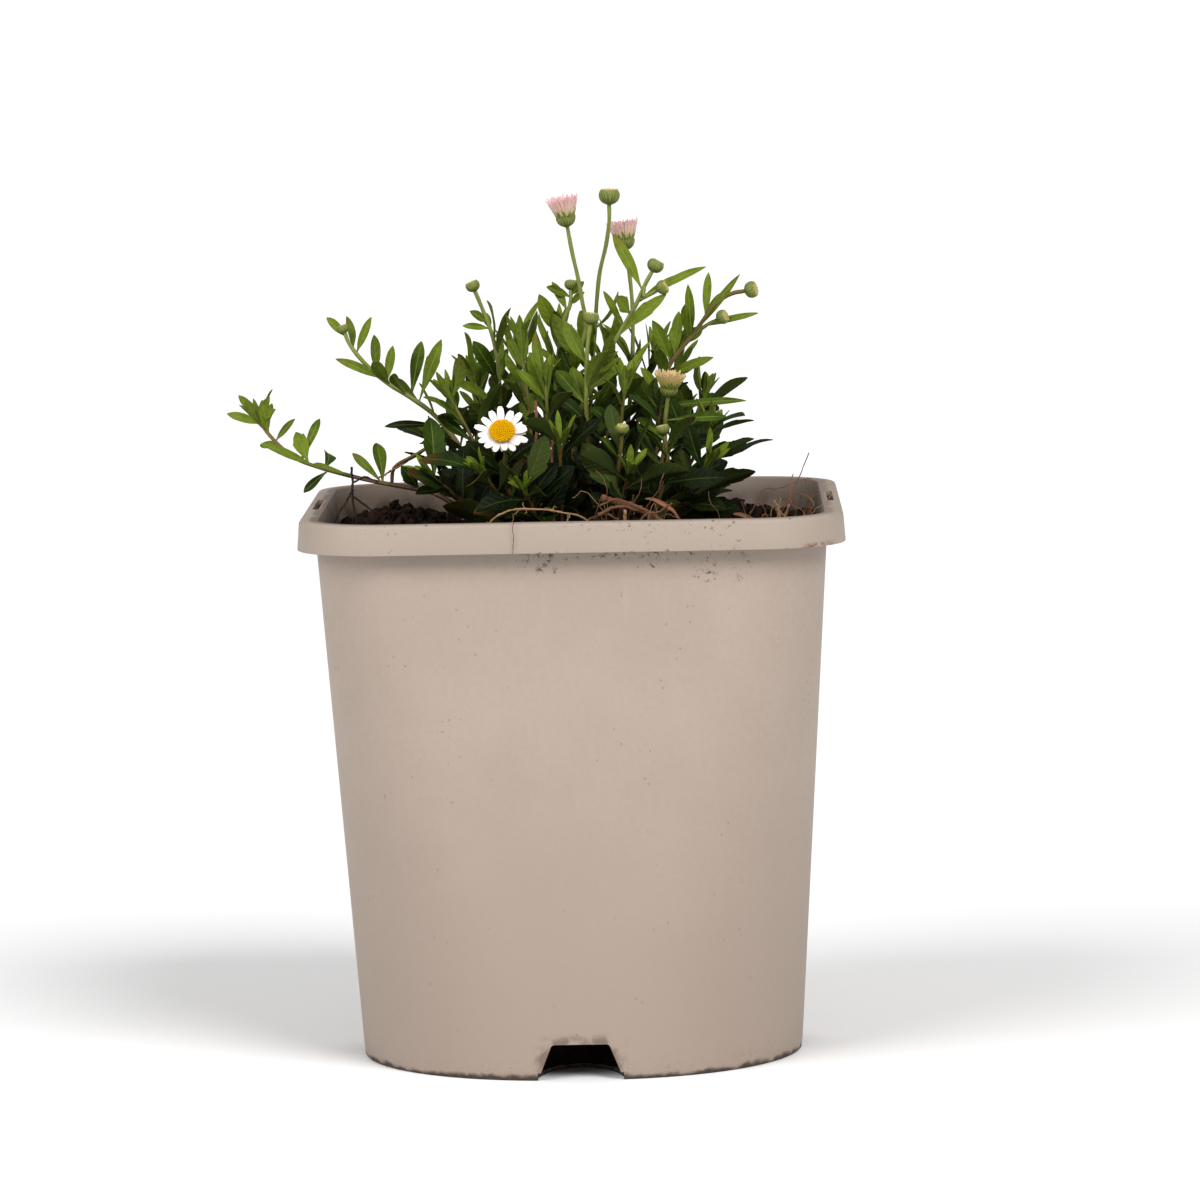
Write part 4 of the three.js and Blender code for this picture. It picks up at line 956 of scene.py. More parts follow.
COLUMNS = np.array([-1, -0.8, -0.55, -0.28, -0.08, 0.08, 0.28, 0.55, 0.8, 1])
OUTLINES = {
    "narrow": [
        (0, 0.16), (0.06, 0.15), (0.14, 0.26), (0.24, 0.58), (0.34, 0.84), (0.45, 0.97), (0.55, 1),
        (0.66, 0.97), (0.76, 0.86), (0.86, 0.62), (0.94, 0.33), (1, 0.04),
    ],
    "spoon": [
        (0, 0.15), (0.08, 0.14), (0.18, 0.26), (0.3, 0.5), (0.42, 0.74), (0.54, 0.92), (0.64, 1),
        (0.74, 0.98), (0.83, 0.84), (0.91, 0.58), (0.97, 0.28), (1, 0.06),
    ],
    "three": [
        (0, 0.1), (0.08, 0.11), (0.2, 0.24), (0.32, 0.55), (0.45, 0.86), (0.56, 0.99), (0.64, 1.03),
        (0.67, 0.88), (0.73, 0.8), (0.82, 0.68), (0.91, 0.42), (1, 0.06),
    ],
    "five": [
        (0, 0.08), (0.08, 0.1), (0.18, 0.22), (0.3, 0.52), (0.42, 0.84), (0.52, 1), (0.555, 0.84),
        (0.62, 0.88), (0.7, 0.9), (0.755, 0.88), (0.785, 0.72), (0.86, 0.62), (0.93, 0.4), (1, 0.08),
    ],
}


def add_leaf(form, finish, leaf, youth_and_light, luck, slim=0.96):
    """A leaf blade: a grooved midrib, a wavy toothed edge, a fold, a twist and a drooping tip."""
    kind = "spoon" if leaf.kind == "narrow" and youth_and_light < 0.72 else leaf.kind
    outline = np.array(OUTLINES[kind])
    share, wide = outline[:, :1], outline[:, 1:]
    across = COLUMNS[None, :]
    half = leaf.width / 2
    lateral = across * wide * half * slim
    fold, droop, twist = luck.uniform(0.05, 0.3), luck.uniform(0, 0.08), luck.uniform(-0.25, 0.25)
    phase, kin = luck.uniform(0, 6.3), luck.random()
    along = leaf.length * share + 0.035 * leaf.length * abs(across) ** 3 * share * (1 - share) * 4
    lift = leaf.arch * leaf.length * (share - share**2) + fold * abs(lateral)
    lift = lift - 0.16 * np.exp(-((lateral / 0.35) ** 2)) * (1 - share)
    lift = lift + 0.05 * leaf.width * abs(across) ** 3 * np.sin(7 * share + phase) * wide
    lift = lift - droop * leaf.length * share**3
    turned_by = twist * share
    top = leaf.root + leaf.way * along[..., None]
    top = top + leaf.side * (lateral * np.cos(turned_by))[..., None]
    top = top + leaf.face * (lift + lateral * np.sin(turned_by))[..., None]
    thick = 0.14 + 0.26 * np.exp(-((lateral / 0.3) ** 2)) * (1 - 0.7 * share)
    under = top - leaf.face * thick[..., None]
    place = np.stack(np.broadcast_arrays(along, lateral, 0.0), -1)
    under_place = place + [0, 0, 1]
    look = np.stack(np.broadcast_arrays(kin, youth_and_light, share + 0 * across), -1)
    add_shell(form, top, under, finish, place, under_place, look)


def ring_of(radius, height, sides, axes, centre):
    turn = (np.arange(sides) / sides * 2 * math.pi)[:, None]
    side, other, way = axes
    return centre + side * (radius * np.cos(turn)) + other * (radius * np.sin(turn)) + way * height


def add_turned(form, profile, sides, axes, centre, finish, look):
    """A closed turned form from a profile of radius and height, lowest first."""
    rings = [ring_of(radius, height, sides, axes, centre) for radius, height in profile]
    points, faces = loft(rings)
    place = np.zeros(points.shape)
    place[:-2, 0] = np.repeat(np.linspace(0, 1, len(rings)), sides)
    place[-1, 0] = 1
    form.add(points, faces, finish, place, look)


def axes_of(way):
    way = unit(way)
    side = unit(np.cross(way, HEAD_SIDE))
    return side, np.cross(way, side), way


def add_strip(form, spine, normal, half_widths, thickness, finish, kin, cup):
    """A narrow sheet along a spine, its face along a normal, cupped across, closed all round."""
    spine = np.asarray(spine, float)
    ways = np.gradient(spine, axis=0)
    ways /= np.linalg.norm(ways, axis=1)[:, None]
    side = np.cross(ways, normal)
    side /= np.linalg.norm(side, axis=1)[:, None]
    face = np.cross(side, ways)
    across = np.array([-1, -0.45, 0, 0.45, 1])
    half = np.asarray(half_widths, float)[:, None]
    lift = (across**2)[None, :] * half * cup
    top = spine[:, None, :] + side[:, None, :] * (across[None, :] * half)[..., None]
    top = top + face[:, None, :] * lift[..., None]
    under = top - face[:, None, :] * thickness
    share = np.linspace(0, 1, len(spine))[:, None]
    place = np.stack(np.broadcast_arrays(share, across[None, :], 0.0), -1)
    look = np.broadcast_to(np.array([kin, 0.0, 0.0]), place.shape)
    add_shell(form, top, under, finish, place, place + [0, 0, 1], look)


# Radius and height of a bud and of a cup, in radii
BUD_PROFILE = [
    (0.2, -0.08), (0.55, 0.06), (0.8, 0.26), (0.94, 0.5), (1, 0.8), (0.99, 1.04), (0.92, 1.22), (0.8, 1.36),
]
CUP_PROFILE = [(0.2, -0.08), (0.48, 0.04), (0.7, 0.22), (0.82, 0.42), (0.9, 0.66), (0.95, 0.9), (0.88, 0.92)]


def add_bracts(form, profile, radius, count, rings, axes, centre, finish, luck):
    """Overlapping pointed bracts that follow a turned profile."""
    side, other, way = axes
    wide = np.array([r for r, _ in profile[1:]])
    high = np.array([h for _, h in profile[1:]])
    for ring, (low, top, out) in enumerate(rings):
        for i in range(count):
            angle = (i + 0.5 * ring) / count * 2 * math.pi + luck.uniform(-0.05, 0.05)
            outward = side * math.cos(angle) + other * math.sin(angle)
            end = top * luck.uniform(0.92, 1.06)
            heights = np.linspace(low, end, 6)
            spread = np.interp(heights, high, wide) + out * np.linspace(0.5, 1.4, 6)
            spine = centre + outward * (spread * radius)[:, None] + way * (heights * radius)[:, None]
            reach = math.pi * radius / count * 1.12
            widths = reach * np.array([0.75, 0.95, 1, 0.85, 0.5, 0.06])
            add_strip(form, spine, outward, widths, 0.09, finish, luck.random(), -0.12)


def add_knobs(form, count, radius, dome, seat, axes, size, finish, luck, tall=1.0):
    """Small florets in a spiral over a dome."""
    side, other, way = axes
    for i in range(count):
        share = math.sqrt((i + 0.5) / count)
        angle = i * GOLDEN_TURN
        out = side * math.cos(angle) + other * math.sin(angle)
        height = dome * math.sqrt(max(0.0, 1 - 0.9 * share * share))
        centre = seat + out * (radius * share) + way * height
        lean = unit(way + out * share * 0.9)
        wide = size * luck.uniform(0.85, 1.1)
        rise = wide * tall * luck.uniform(0.9, 1.4)
        shape = ((0.9, -0.9), (1, 0), (0.85, 0.6), (0.35, 0.85))
        profile = [(wide * out_share, rise * up_share) for out_share, up_share in shape]
        look = (luck.random(), share, 0)
        add_turned(form, profile, 7, axes_of(lean), centre, finish, look)


def add_bud(form, end, way, radius, luck):
    axes = axes_of(way)
    body = [(r * radius * 0.95, h * radius) for r, h in BUD_PROFILE]
    add_turned(form, body, 24, axes, end, BRACT, (0.4, 0.1, 0))
    rings = [(0.1, 0.95, 0.01), (0.12, 1.26, 0.03), (0.3, 1.46, 0.02)]
    add_bracts(form, BUD_PROFILE, radius, 19, rings, axes, end, BRACT, luck)
    seat = end + axes[2] * radius * 1.3
    add_knobs(form, 40, radius * 0.74, radius * 0.08, seat, axes, radius * 0.11, PALE, luck)


def add_hairs(form, path, radius, count, finish, look, luck, length=0.7):
    """Short stiff hairs that stand out of a stalk."""
    ways, first, second = frames(np.asarray(path, float))
    for _ in range(count):
        i = int(luck.integers(1, len(path) - 1))
        angle = luck.uniform(0, 2 * math.pi)
        out = first[i] * math.cos(angle) + second[i] * math.sin(angle)
        foot = path[i] + (path[i] - path[i - 1]) * luck.random() + out * radius * 0.9
        tip = foot + out * length * luck.uniform(0.5, 1) + ways[i] * luck.uniform(-0.2, 0.4) * length
        side = np.cross(out, ways[i])
        ring = [foot + side * 0.035, foot - side * 0.02 + ways[i] * 0.03, foot - side * 0.02 - ways[i] * 0.03]
        faces = [[[0, 1, 3], [1, 2, 3], [2, 0, 3], [2, 1, 0]]]
        form.add([*ring, tip], faces, finish, (0, 0, 0), look)


LEAF, SKIN, BRACT, PALE = range(4)

# Small leaves close under buds: place on the stem, tip and width
SPRIG_LEAVES = {
    "stem_bud_middle": (
        (0.93, (-6.6, 5, 214.2), 2.6), (0.95, (3.6, 4, 215.4), 2.4), (0.86, (3.8, 2, 212.6), 2.2),
    ),
    "stem_bud_right": ((0.8, (30.5, -10, 217.8), 2.2), (0.7, (9.8, -12, 213.5), 2.2)),
    "stem_bud_far_right": (
        (0.66, (47.5, 2, 216.8), 2.3), (0.7, (52.5, -2, 206.2), 2.0),
    ),
    "stem_bud_top_left": ((0.7, (-15.8, 10, 203.6), 2.3), (0.75, (-30.6, 12, 203.4), 2.2)),
    "stem_left_runner": (
        (0.99, (-85.0, 4, 184.6), 2.4), (0.97, (-83.6, 0, 181.5), 2.4), (0.86, (-78.2, 0, 178.6), 2.0),
    ),
}


def add_collar(form, stem, luck):
    """Slim inner bracts that stand between the foot of the rays and the cup."""
    head, way, seat, side, other = head_frame(stem)
    for ring, (reach, out) in enumerate(((0.36, 0.14), (0.52, 0.04))):
        for i in range(24):
            angle = (i + 0.5 * ring + luck.uniform(-0.15, 0.15)) / 24 * 2 * math.pi
            outward = side * math.cos(angle) + other * math.sin(angle)
            lean = head.lean * 1.05
            direction = outward * math.sin(lean) + way * math.cos(lean)
            share = np.linspace(-0.35, 1, 6)[:, None]
            length = head.length * reach * luck.uniform(0.85, 1.15)
            start = seat + outward * (head.cup * 0.86 + out)
            widths = 0.5 * np.array([0.9, 1, 1, 0.85, 0.55, 0.08])
            spine = start + direction * (share * length)
            add_strip(form, spine, outward, widths, 0.1, BRACT, 0.4 + 0.6 * luck.random(), -0.1)


def add_stalk(form, path, foot_radius, tip_radius, luck, greener):
    """A stalk, brown at the soil and greener with height."""
    count = len(path)
    share = np.linspace(0, 1, count)
    knobbly = 1 + 0.06 * np.sin(share * 40 + luck.uniform(0, 6))
    radii = (foot_radius + (tip_radius - foot_radius) * share) * knobbly
    green = np.clip(np.clip((path[:, 2] - 150) / 50, 0, 1) + greener, 0, 1)
    look = np.stack([np.full(count, luck.random()), green, share], -1)
    add_tube(form, path, radii, 10, SKIN, look)


def add_cup(form, stem, way, luck):
    """The green cup of a head, with its bracts."""
    cup = HEADS[stem.head].cup
    axes, end = axes_of(way), stem.curve.at(1)
    body = [(r * cup * 0.95, h * cup) for r, h in CUP_PROFILE]
    add_turned(form, body, 28, axes, end, BRACT, (0.4, 0.1, 0))
    rings = [(0.1, 0.74, 0.0), (0.12, 0.98, 0.02)]
    add_bracts(form, CUP_PROFILE, cup, 20, rings, axes, end, BRACT, luck)
    if stem.head != "daisy":
        add_collar(form, stem, luck)


def add_leaves(form, stem, order, luck):
    """Every leaf of the layout, younger and less in painted shade with height, and the small ones close under
    buds.
    """
    for leaf in stem.blades + stem.extra:
        middle = leaf.root[2] + leaf.length * 0.5
        # youth and painted shade by height: low leaves get darker colour
        youth_and_light = float(np.clip((middle - YOUTH_AND_LIGHT_FROM) / YOUTH_AND_LIGHT_CLIMB, 0, 1))
        youth_and_light = youth_and_light + luck.uniform(-0.16, 0.16) + (0.45 if order == 0 else 0)
        # painted shade: leaves at the back are darker
        if leaf.root[1] > 12:
            youth_and_light -= 0.1
        slim = 1.04 - 0.14 * min(1.0, max(0.0, youth_and_light))
        if order < RUNNERS:
            slim = SLIM_RUNNER
        if leaf.traced:
            slim = SLIM_TRACED
        add_leaf(form, LEAF, leaf, youth_and_light, luck, slim)
    for at, tip, width in SPRIG_LEAVES.get(stem.name, ()):
        leaf = leaf_between(stem.curve.at(at), np.array(tip, float), SHOWN_FACE, width, "narrow", 0.05)
        add_leaf(form, LEAF, leaf, 0.85, luck)


def add_shoot(form, stem, order, way, luck):
    """The youngest leaves, which stand round the tip of a leafy stem."""
    for i in range(6):
        turn = i * GOLDEN_TURN + order
        out = np.array([math.cos(turn), math.sin(turn), 0])
        tip = stem.curve.at(1) + unit(way * (1.1 + 0.25 * i) + out) * luck.uniform(5, 9)
        root = stem.curve.at(0.99 - 0.012 * i)
        width = luck.uniform(1.7, 2.6)
        leaf = leaf_between(root, tip, unit(way - out), width, "narrow", -0.06)
        add_leaf(form, LEAF, leaf, 1.0, luck)


def add_plant(stem, order, finishes):
    """One stem with its leaves, branch and buds, and the cup of its head."""
    luck = np.random.default_rng(500 + order)
    form = Form()
    blooms = bool(stem.bud or stem.head)
    count = max(12, int(stem.curve.length() / 1.4))
    path = stem.curve.many(count)
    greener = stem.green or (0.15 if blooms else 0.0)
    add_stalk(form, path, stem.radius * 1.02, 0.58 if blooms else 0.45, luck, greener)
    add_hairs(form, path[int(count * 0.45) :], 0.5, 70, SKIN, (0.5, 0.9, 0), luck)
    if stem.branch:
        add_stalk(form, stem.branch_curve.many(14), 0.55, 0.48, luck, 0.1)
        if stem.branch.get("bud"):
            add_bud(form, stem.branch_curve.at(1), stem.branch_curve.way(1), stem.branch["bud"], luck)
    way = way_of(stem)
    if stem.bud:
        add_bud(form, stem.curve.at(1), way, stem.bud, luck)
    if stem.head:
        add_cup(form, stem, way, luck)
    add_leaves(form, stem, order, luck)
    if not blooms:
        add_shoot(form, stem, order, way, luck)
    form.piece(stem.name + "_fine", finishes, "living_green", [stem.name], 55)


def head_frame(stem):
    """A head's measures, the way it looks, where its rays are seated, and two directions across it."""
    head, way = HEADS[stem.head], way_of(stem)
    seat = stem.curve.at(1) + way * (head.cup * 0.9 + HEAD_GAP)
    side = unit(np.cross(way, HEAD_SIDE))
    return head, way, seat, side, np.cross(way, side)


POINTED_RAY = [0.45, 0.62, 0.8, 0.92, 1, 1, 0.92, 0.7, 0.3]
BLUNT_RAY = [0.4, 0.5, 0.66, 0.8, 0.92, 1, 1, 0.9, 0.5]


def add_ray(form, root, direction, face, length, width, luck, blunt):
    """One ray, a little curled and swayed."""
    share = np.linspace(0, 1, 9)
    curl = luck.uniform(-0.02, 0.08) * length
    sway = luck.uniform(-0.05, 0.05) * length
    side = np.cross(direction, face)
    spine = root + direction * (share * length)[:, None] + face * (curl * share**2)[:, None]
    spine = spine + side * (sway * share**2)[:, None]
    shape = BLUNT_RAY if blunt else POINTED_RAY
    widths = width / 2 * np.array(shape)
    add_strip(form, spine, face, widths, 0.2, 0, luck.random(), luck.uniform(0.0, 0.3))


def add_rays(stem, finish, slot, node):
    """The rays of a head: the wide ones of the daisy, or the many narrow ones of a half-open head."""
    head, way, seat, side, other = head_frame(stem)
    luck = np.random.default_rng(90 + head.rays)
    draw = draws(SOIL_SEED + head.rays)
    form = Form()

    def ray(angle, lean, start, length, width, lift, blunt=False):
        out = side * math.cos(angle) + other * math.sin(angle)
        direction = out * math.sin(lean) + way * math.cos(lean)
        face = way * math.sin(lean) - out * math.cos(lean)
        add_ray(form, seat + out * start + way * lift, direction, face, length, width, luck, blunt)

    if stem.head == "daisy":
        for i in range(head.rays):
            lean = head.lean * (0.95 + 0.1 * draw())
            length = head.length * (0.85 + 0.25 * draw())
            angle = i / head.rays * 2 * math.pi + luck.uniform(-0.07, 0.07)
            upward = (side * math.cos(angle) + other * math.sin(angle))[2]
            length *= 0.88 + 0.17 * upward
            lean += luck.uniform(-0.12, 0.1)
            ray(angle, lean, head.start, length, luck.uniform(1.75, 2.15), 0.55, True)
        for i in range(11):
            angle = (i + 0.5) / 11 * 2 * math.pi + luck.uniform(-0.1, 0.1)
            upward = (side * math.cos(angle) + other * math.sin(angle))[2]
            length = head.length * luck.uniform(0.68, 0.8) * (0.9 + 0.15 * upward)
            ray(angle, head.lean + 0.07, head.start, length, 1.3, 0.2)
        body = [(2.4, 0), (2.8, 0.3), (2.6, 0.85)]
    else:
        wide = head.cup * 0.84
        for i in range(38):
            lean = head.lean * luck.uniform(0.85, 1.2)
            angle = (i + luck.uniform(-0.2, 0.2)) / 38 * 2 * math.pi
            ray(angle, lean, wide, head.length * luck.uniform(0.86, 1.06), 0.8, 0.1)
        for i in range(22):
            lean = head.lean * luck.uniform(0.2, 0.8)
            angle = (i + luck.uniform(-0.3, 0.3)) / 22 * 2 * math.pi
            ray(angle, lean, wide * 0.66, head.length * luck.uniform(0.8, 1.0), 0.75, 0.2)
        body = [(wide * 0.9, 0), (wide, 0.5)]
        body += [(wide * 0.8, head.length * 0.45), (wide * 0.4, head.length * 0.55)]
    add_turned(form, body, 18, (side, other, way), seat, 0, (0.3, 0, 0))
    form.piece(node + "_fine", [finish], slot, [node], angle=50)


def add_disc(stem, finish):
    """The yellow disc: a dome covered with florets."""
    _, way, seat, side, other = head_frame(stem)
    luck = np.random.default_rng(17)
    axes, base = (side, other, way), seat + way * (DISC.seat + HEAD_GAP)
    form = Form()
    body = [(DISC.radius * 0.86, -0.3), (DISC.radius * 0.97, 0.4)]
    for share in (0.96, 0.8, 0.55, 0.25):
        body.append((DISC.radius * share, DISC.height * math.sqrt(1 - 0.9 * share * share) * 0.92))
    add_turned(form, body, 30, axes, base, 0, (0.1, 0.5, 0))
    add_knobs(form, DISC.knobs, DISC.radius * 0.95, DISC.height, base, axes, DISC.knob, 0, luck, 1.5)
    form.piece("disc_daisy_fine", [finish], "yellow_disc", ["disc_daisy"], angle=60)


# The pot, its soil and what lies on it

def square_ring(half, corner, z, corner_steps=24, side_steps=12):
    """Points round a square with round corners."""
    inset = half - corner
    points = []
    for quarter in range(4):
        turn = quarter * math.pi / 2
        cos, sin = math.cos(turn), math.sin(turn)
        for step in range(corner_steps + 1):
            angle = turn + step / corner_steps * math.pi / 2
            x = inset * (cos - sin) + corner * math.cos(angle)
            y = inset * (sin + cos) + corner * math.sin(angle)
            points.append((x, y, z))
        for step in range(1, side_steps):
            along = inset * (1 - 2 * step / side_steps)
            points.append((along * cos - half * sin, along * sin + half * cos, z))
    return np.array(points)


def body_ring(z, inset, *steps):
    part = z / POT_HEIGHT
    half = BASE_HALF + (TOP_HALF - BASE_HALF) * part - inset
    corner = BASE_CORNER + (TOP_CORNER - BASE_CORNER) * part - inset
    return square_ring(half, corner, z, *steps)


def rim_ring(z, inset):
    flare = RIM_FLARE * (POT_HEIGHT - z) / RIM_DROP
    return square_ring(RIM_HALF + flare - inset, RIM_CORNER - inset, z)


def prism(outline, low, high, axis):
    """A closed bar with a flat outline, pushed along an axis (1 is Y, 2 is Z)."""
    outline = np.array(outline, float)
    if axis == 1:
        rings = [np.stack([outline[:, 0], np.full(len(outline), y), outline[:, 1]], -1) for y in (high, low)]
    else:
        rings = [np.stack([outline[:, 0], outline[:, 1], np.full(len(outline), z)], -1) for z in (low, high)]
    return loft(rings)


def quarter_turned(points, side):
    turn = side * math.pi / 2
    cos, sin = round(math.cos(turn)), round(math.sin(turn))
    return points @ np.array([[cos, sin, 0], [-sin, cos, 0], [0, 0, 1.0]])


def cut_away(mesh, cutters):
    """The mesh less closed cutters, given as rounds of forms that don't overlap within a round."""
    whole = put("whole", mesh)
    for cutter in cutters:
        tool = put("cutter", cutter.mesh("cutter"))
        change = whole.modifiers.new("cut", "BOOLEAN")
        change.operation = "DIFFERENCE"
        change.solver = "EXACT"
        change.object = tool
        ready = whole.evaluated_get(bpy.context.evaluated_depsgraph_get())
        done = bpy.data.meshes.new_from_object(ready)
        whole.modifiers.clear()
        whole.data = done
        bpy.data.objects.remove(tool)
    result = whole.data
    bpy.data.objects.remove(whole)
    return result


def drain_cup(low, high, grow):
    """The half-round hollow of a drain opening in the base, grown by a margin."""
    turn = np.linspace(0, math.pi, 25)
    x = np.cos(turn) * (DRAIN.bottom / 2 + grow)
    y = np.sin(turn) * (DRAIN.reach + grow) - BASE_HALF
    return prism(np.stack([x, y], -1), low, high, 2)


def rounded_notch():
    """The drain opening's outline, its two upper corners rounded."""
    half, low = DRAIN.bottom / 2 + 0.36, -1.0
    top, high = DRAIN.top / 2, DRAIN.height
    points = [(-half, low), (half, low)]
    for sign in (1, -1):
        arc = [(math.cos(a), math.sin(a)) for a in np.linspace(0.2, math.pi / 2, 6)]
        bend = [(sign * (top - 1.3 + 1.3 * c), high - 1.3 + 1.3 * s) for c, s in arc]
        points += bend if sign == 1 else bend[::-1]
    return points


def pot_rings(lip, skirt):
    """The pot's rings: up the outside, over the collar and down the inside."""
    rings = [body_ring(0, 0.75)]
    for angle in np.linspace(0.25, math.pi / 2, 5):
        rings.append(body_ring(0.7 * (1 - math.cos(angle)), 0.7 * (1 - math.sin(angle))))
    rings += [body_ring(z, 0) for z in np.linspace(6, 150, 19)]
    rings += [body_ring(lip, 0), rim_ring(lip, RIM_SKIN)]
    rings += [rim_ring(149.6, RIM_SKIN), rim_ring(skirt + 0.15, RIM_SKIN), rim_ring(skirt, RIM_SKIN - 0.15)]
    rings += [rim_ring(skirt, 0.35), rim_ring(skirt + 0.1, 0.1), rim_ring(skirt + 0.4, 0), rim_ring(150, 0)]
    for angle in np.linspace(0, math.pi / 2, 6):
        rings.append(rim_ring(POT_HEIGHT - 0.9 * (1 - math.sin(angle)), 0.9 * (1 - math.cos(angle))))
    rings += [body_ring(POT_HEIGHT, WALL - 0.4), body_ring(POT_HEIGHT - 0.12, WALL - 0.12)]
    rings += [body_ring(POT_HEIGHT - 0.4, WALL), body_ring(150, WALL), body_ring(140, WALL)]
    return rings + [body_ring(70, WALL), body_ring(WALL, WALL)]


def box(left, right, low, high):
    return [(left, low), (right, low), (right, high), (left, high)]


def make_pot(finish):
    """The pot less its label slots, the fine grooves in its lip and its drain openings."""
    lip, skirt = POT_HEIGHT - RIM_SKIN, POT_HEIGHT - RIM_DROP
    form, first, second = Form(), Form(), Form()
    form.add(*loft(pot_rings(lip, skirt)))
    middle = -(TOP_HALF + RIM_HALF - RIM_SKIN) / 2
    slot = box(-SLOT_LENGTH / 2, SLOT_LENGTH / 2, lip - 1, POT_HEIGHT + 1)
    cuts = [
        (first, prism(slot, middle - SLOT_WIDTH / 2, middle + SLOT_WIDTH / 2, 1)),
        (first, prism(rounded_notch(), -BASE_HALF - DRAIN.through, -BASE_HALF + DRAIN.through, 1)),
    ]
    for x in GROOVE_PLACES:
        groove = box(x - GROOVE_HALF, x + GROOVE_HALF, POT_HEIGHT - GROOVE_DEPTH, 156)
        cuts.append((first, prism(groove, -RIM_HALF - 2, -TOP_HALF - 0.6, 1)))
    cuts.append((second, drain_cup(-1, WALL + 1, 0)))
    for side in range(4):
        for cutter, (points, faces) in cuts:
            cutter.add(quarter_turned(points, side), faces)
    mesh = cut_away(form.mesh("pot_fine"), [first, second])
    piece_of(mesh, "pot_fine", [finish], ["pot"], 32)


def relief(x, y):
    """Small lumps and crumbs of the soil's surface."""
    at = Vector((x, y, 3.7))
    lumps = noise.fractal(at * 0.16, 1.0, 2.1, 4) * 1.5
    crumbs = noise.turbulence(at * 0.75, 3, False) * 0.7
    return lumps + crumbs - 0.35


def ground(x, y):
    return float(soil_height(x, y)) + relief(x, y)


SOIL_LOOK = (0.3, 0, 0)


def make_soil(finish):
    """The soil: a rough top, and a base with a hollow behind each drain opening."""
    low = WALL + SOIL_GAP
    edge = body_ring(SOIL_LEVEL - 1, low)
    shares = np.linspace(1, 0.02, 100) ** 0.92
    rings = [body_ring(28, low), body_ring(SOIL_LEVEL - 6, low), edge]
    for share in shares:
        x, y = edge[:, 0] * share, edge[:, 1] * share
        rough = np.array([relief(a, b) for a, b in zip(x, y)])
        rings.append(np.stack([x, y, soil_height(x, y) + rough], -1))
    form = Form()
    form.add(*loft(rings), look=SOIL_LOOK)
    lower, hollows = Form(), Form()
    lower.add(*loft([body_ring(low, low), body_ring(30, low)]))
    for side in range(4):
        points, faces = drain_cup(low - 1, DRAIN.height + 2, 0.6)
        hollows.add(quarter_turned(points, side), faces)
    cut = cut_away(lower.mesh("soil_base"), [hollows])
    corners = np.array([vertex.co for vertex in cut.vertices]) / MM
    form.add(corners, [[list(face.vertices)] for face in cut.polygons], look=SOIL_LOOK)
    form.piece("soil_fine", [finish], "soil", ["soil"], 50)


def make_crumbs(finish):
    """Loose crumbs, thin over all of the soil and heaped in three places."""
    luck = np.random.default_rng(63)
    ball = bmesh.new()
    bmesh.ops.create_icosphere(ball, subdivisions=2, radius=1)
    shape = np.array([vertex.co for vertex in ball.verts])
    faces = [[[vertex.index for vertex in face.verts] for face in ball.faces]]
    ball.free()
    crumbs = Form()
    for number in range(CRUMBS):
        middle = CRUMB_CENTRES[number % 3]
        x, y = luck.uniform(-66, 66, 2) if number < SPREAD_CRUMBS else luck.normal(middle, 8)
        beyond = math.hypot(max(0, abs(x) - CRUMB_INSET), max(0, abs(y) - CRUMB_INSET))
        if max(abs(x), abs(y)) > CRUMB_LIMIT or beyond > CRUMB_CORNER:
            continue
        size = 0.35 + 1.5 * luck.random() ** 3
        heap = 0.0
        for at_x, at_y, reach, rise in CRUMB_HEAPS:
            heap += rise * math.exp(-((x - at_x) ** 2 + (y - at_y) ** 2) / reach**2)
        stretch = size * luck.uniform(0.6, 1.2, 3)
        rough = 1 + 0.22 * luck.standard_normal(len(shape))[:, None]
        turn = Matrix.Rotation(luck.uniform(0, 6.3), 3, Vector(luck.standard_normal(3)))
        points = (shape * rough * stretch) @ np.array(turn)
        centre = np.array([x, y, ground(x, y) + size * 0.25 + heap * luck.random() ** 0.6])
        crumbs.add(points + centre, faces, look=(luck.random(), 0, 0))
    crumbs.piece("soil_crumbs", [finish], "soil", (), 30)


DRY_PIECES = {
    "dry_root_arc": (0.6, [
        (-26, -61, 0), (-22, -62, 6.8), (-17.7, -62, 9.6), (-13.9, -62, 10.3),
        (-6.8, -62, 9.3), (-1.4, -62, 7.4), (2.7, -61, 5.2), (7, -59, 0),
    ]),
    "dry_stalk_right": (0.8, [(29.5, -5, 4.6), (34, -5, 3.2), (38, -5, 1.5), (42.5, -6, 0)]),
    "dry_stick_back": (0.8, [(30, 46, 0), (34.3, 47, 3.5), (40.1, 48, 5.7), (44.1, 49, 7.4)]),
    "dry_bark": (1.3, [(8.5, -50, 3.6), (14, -50, 2.2), (19, -50, 1), (25, -50, 0)]),
}

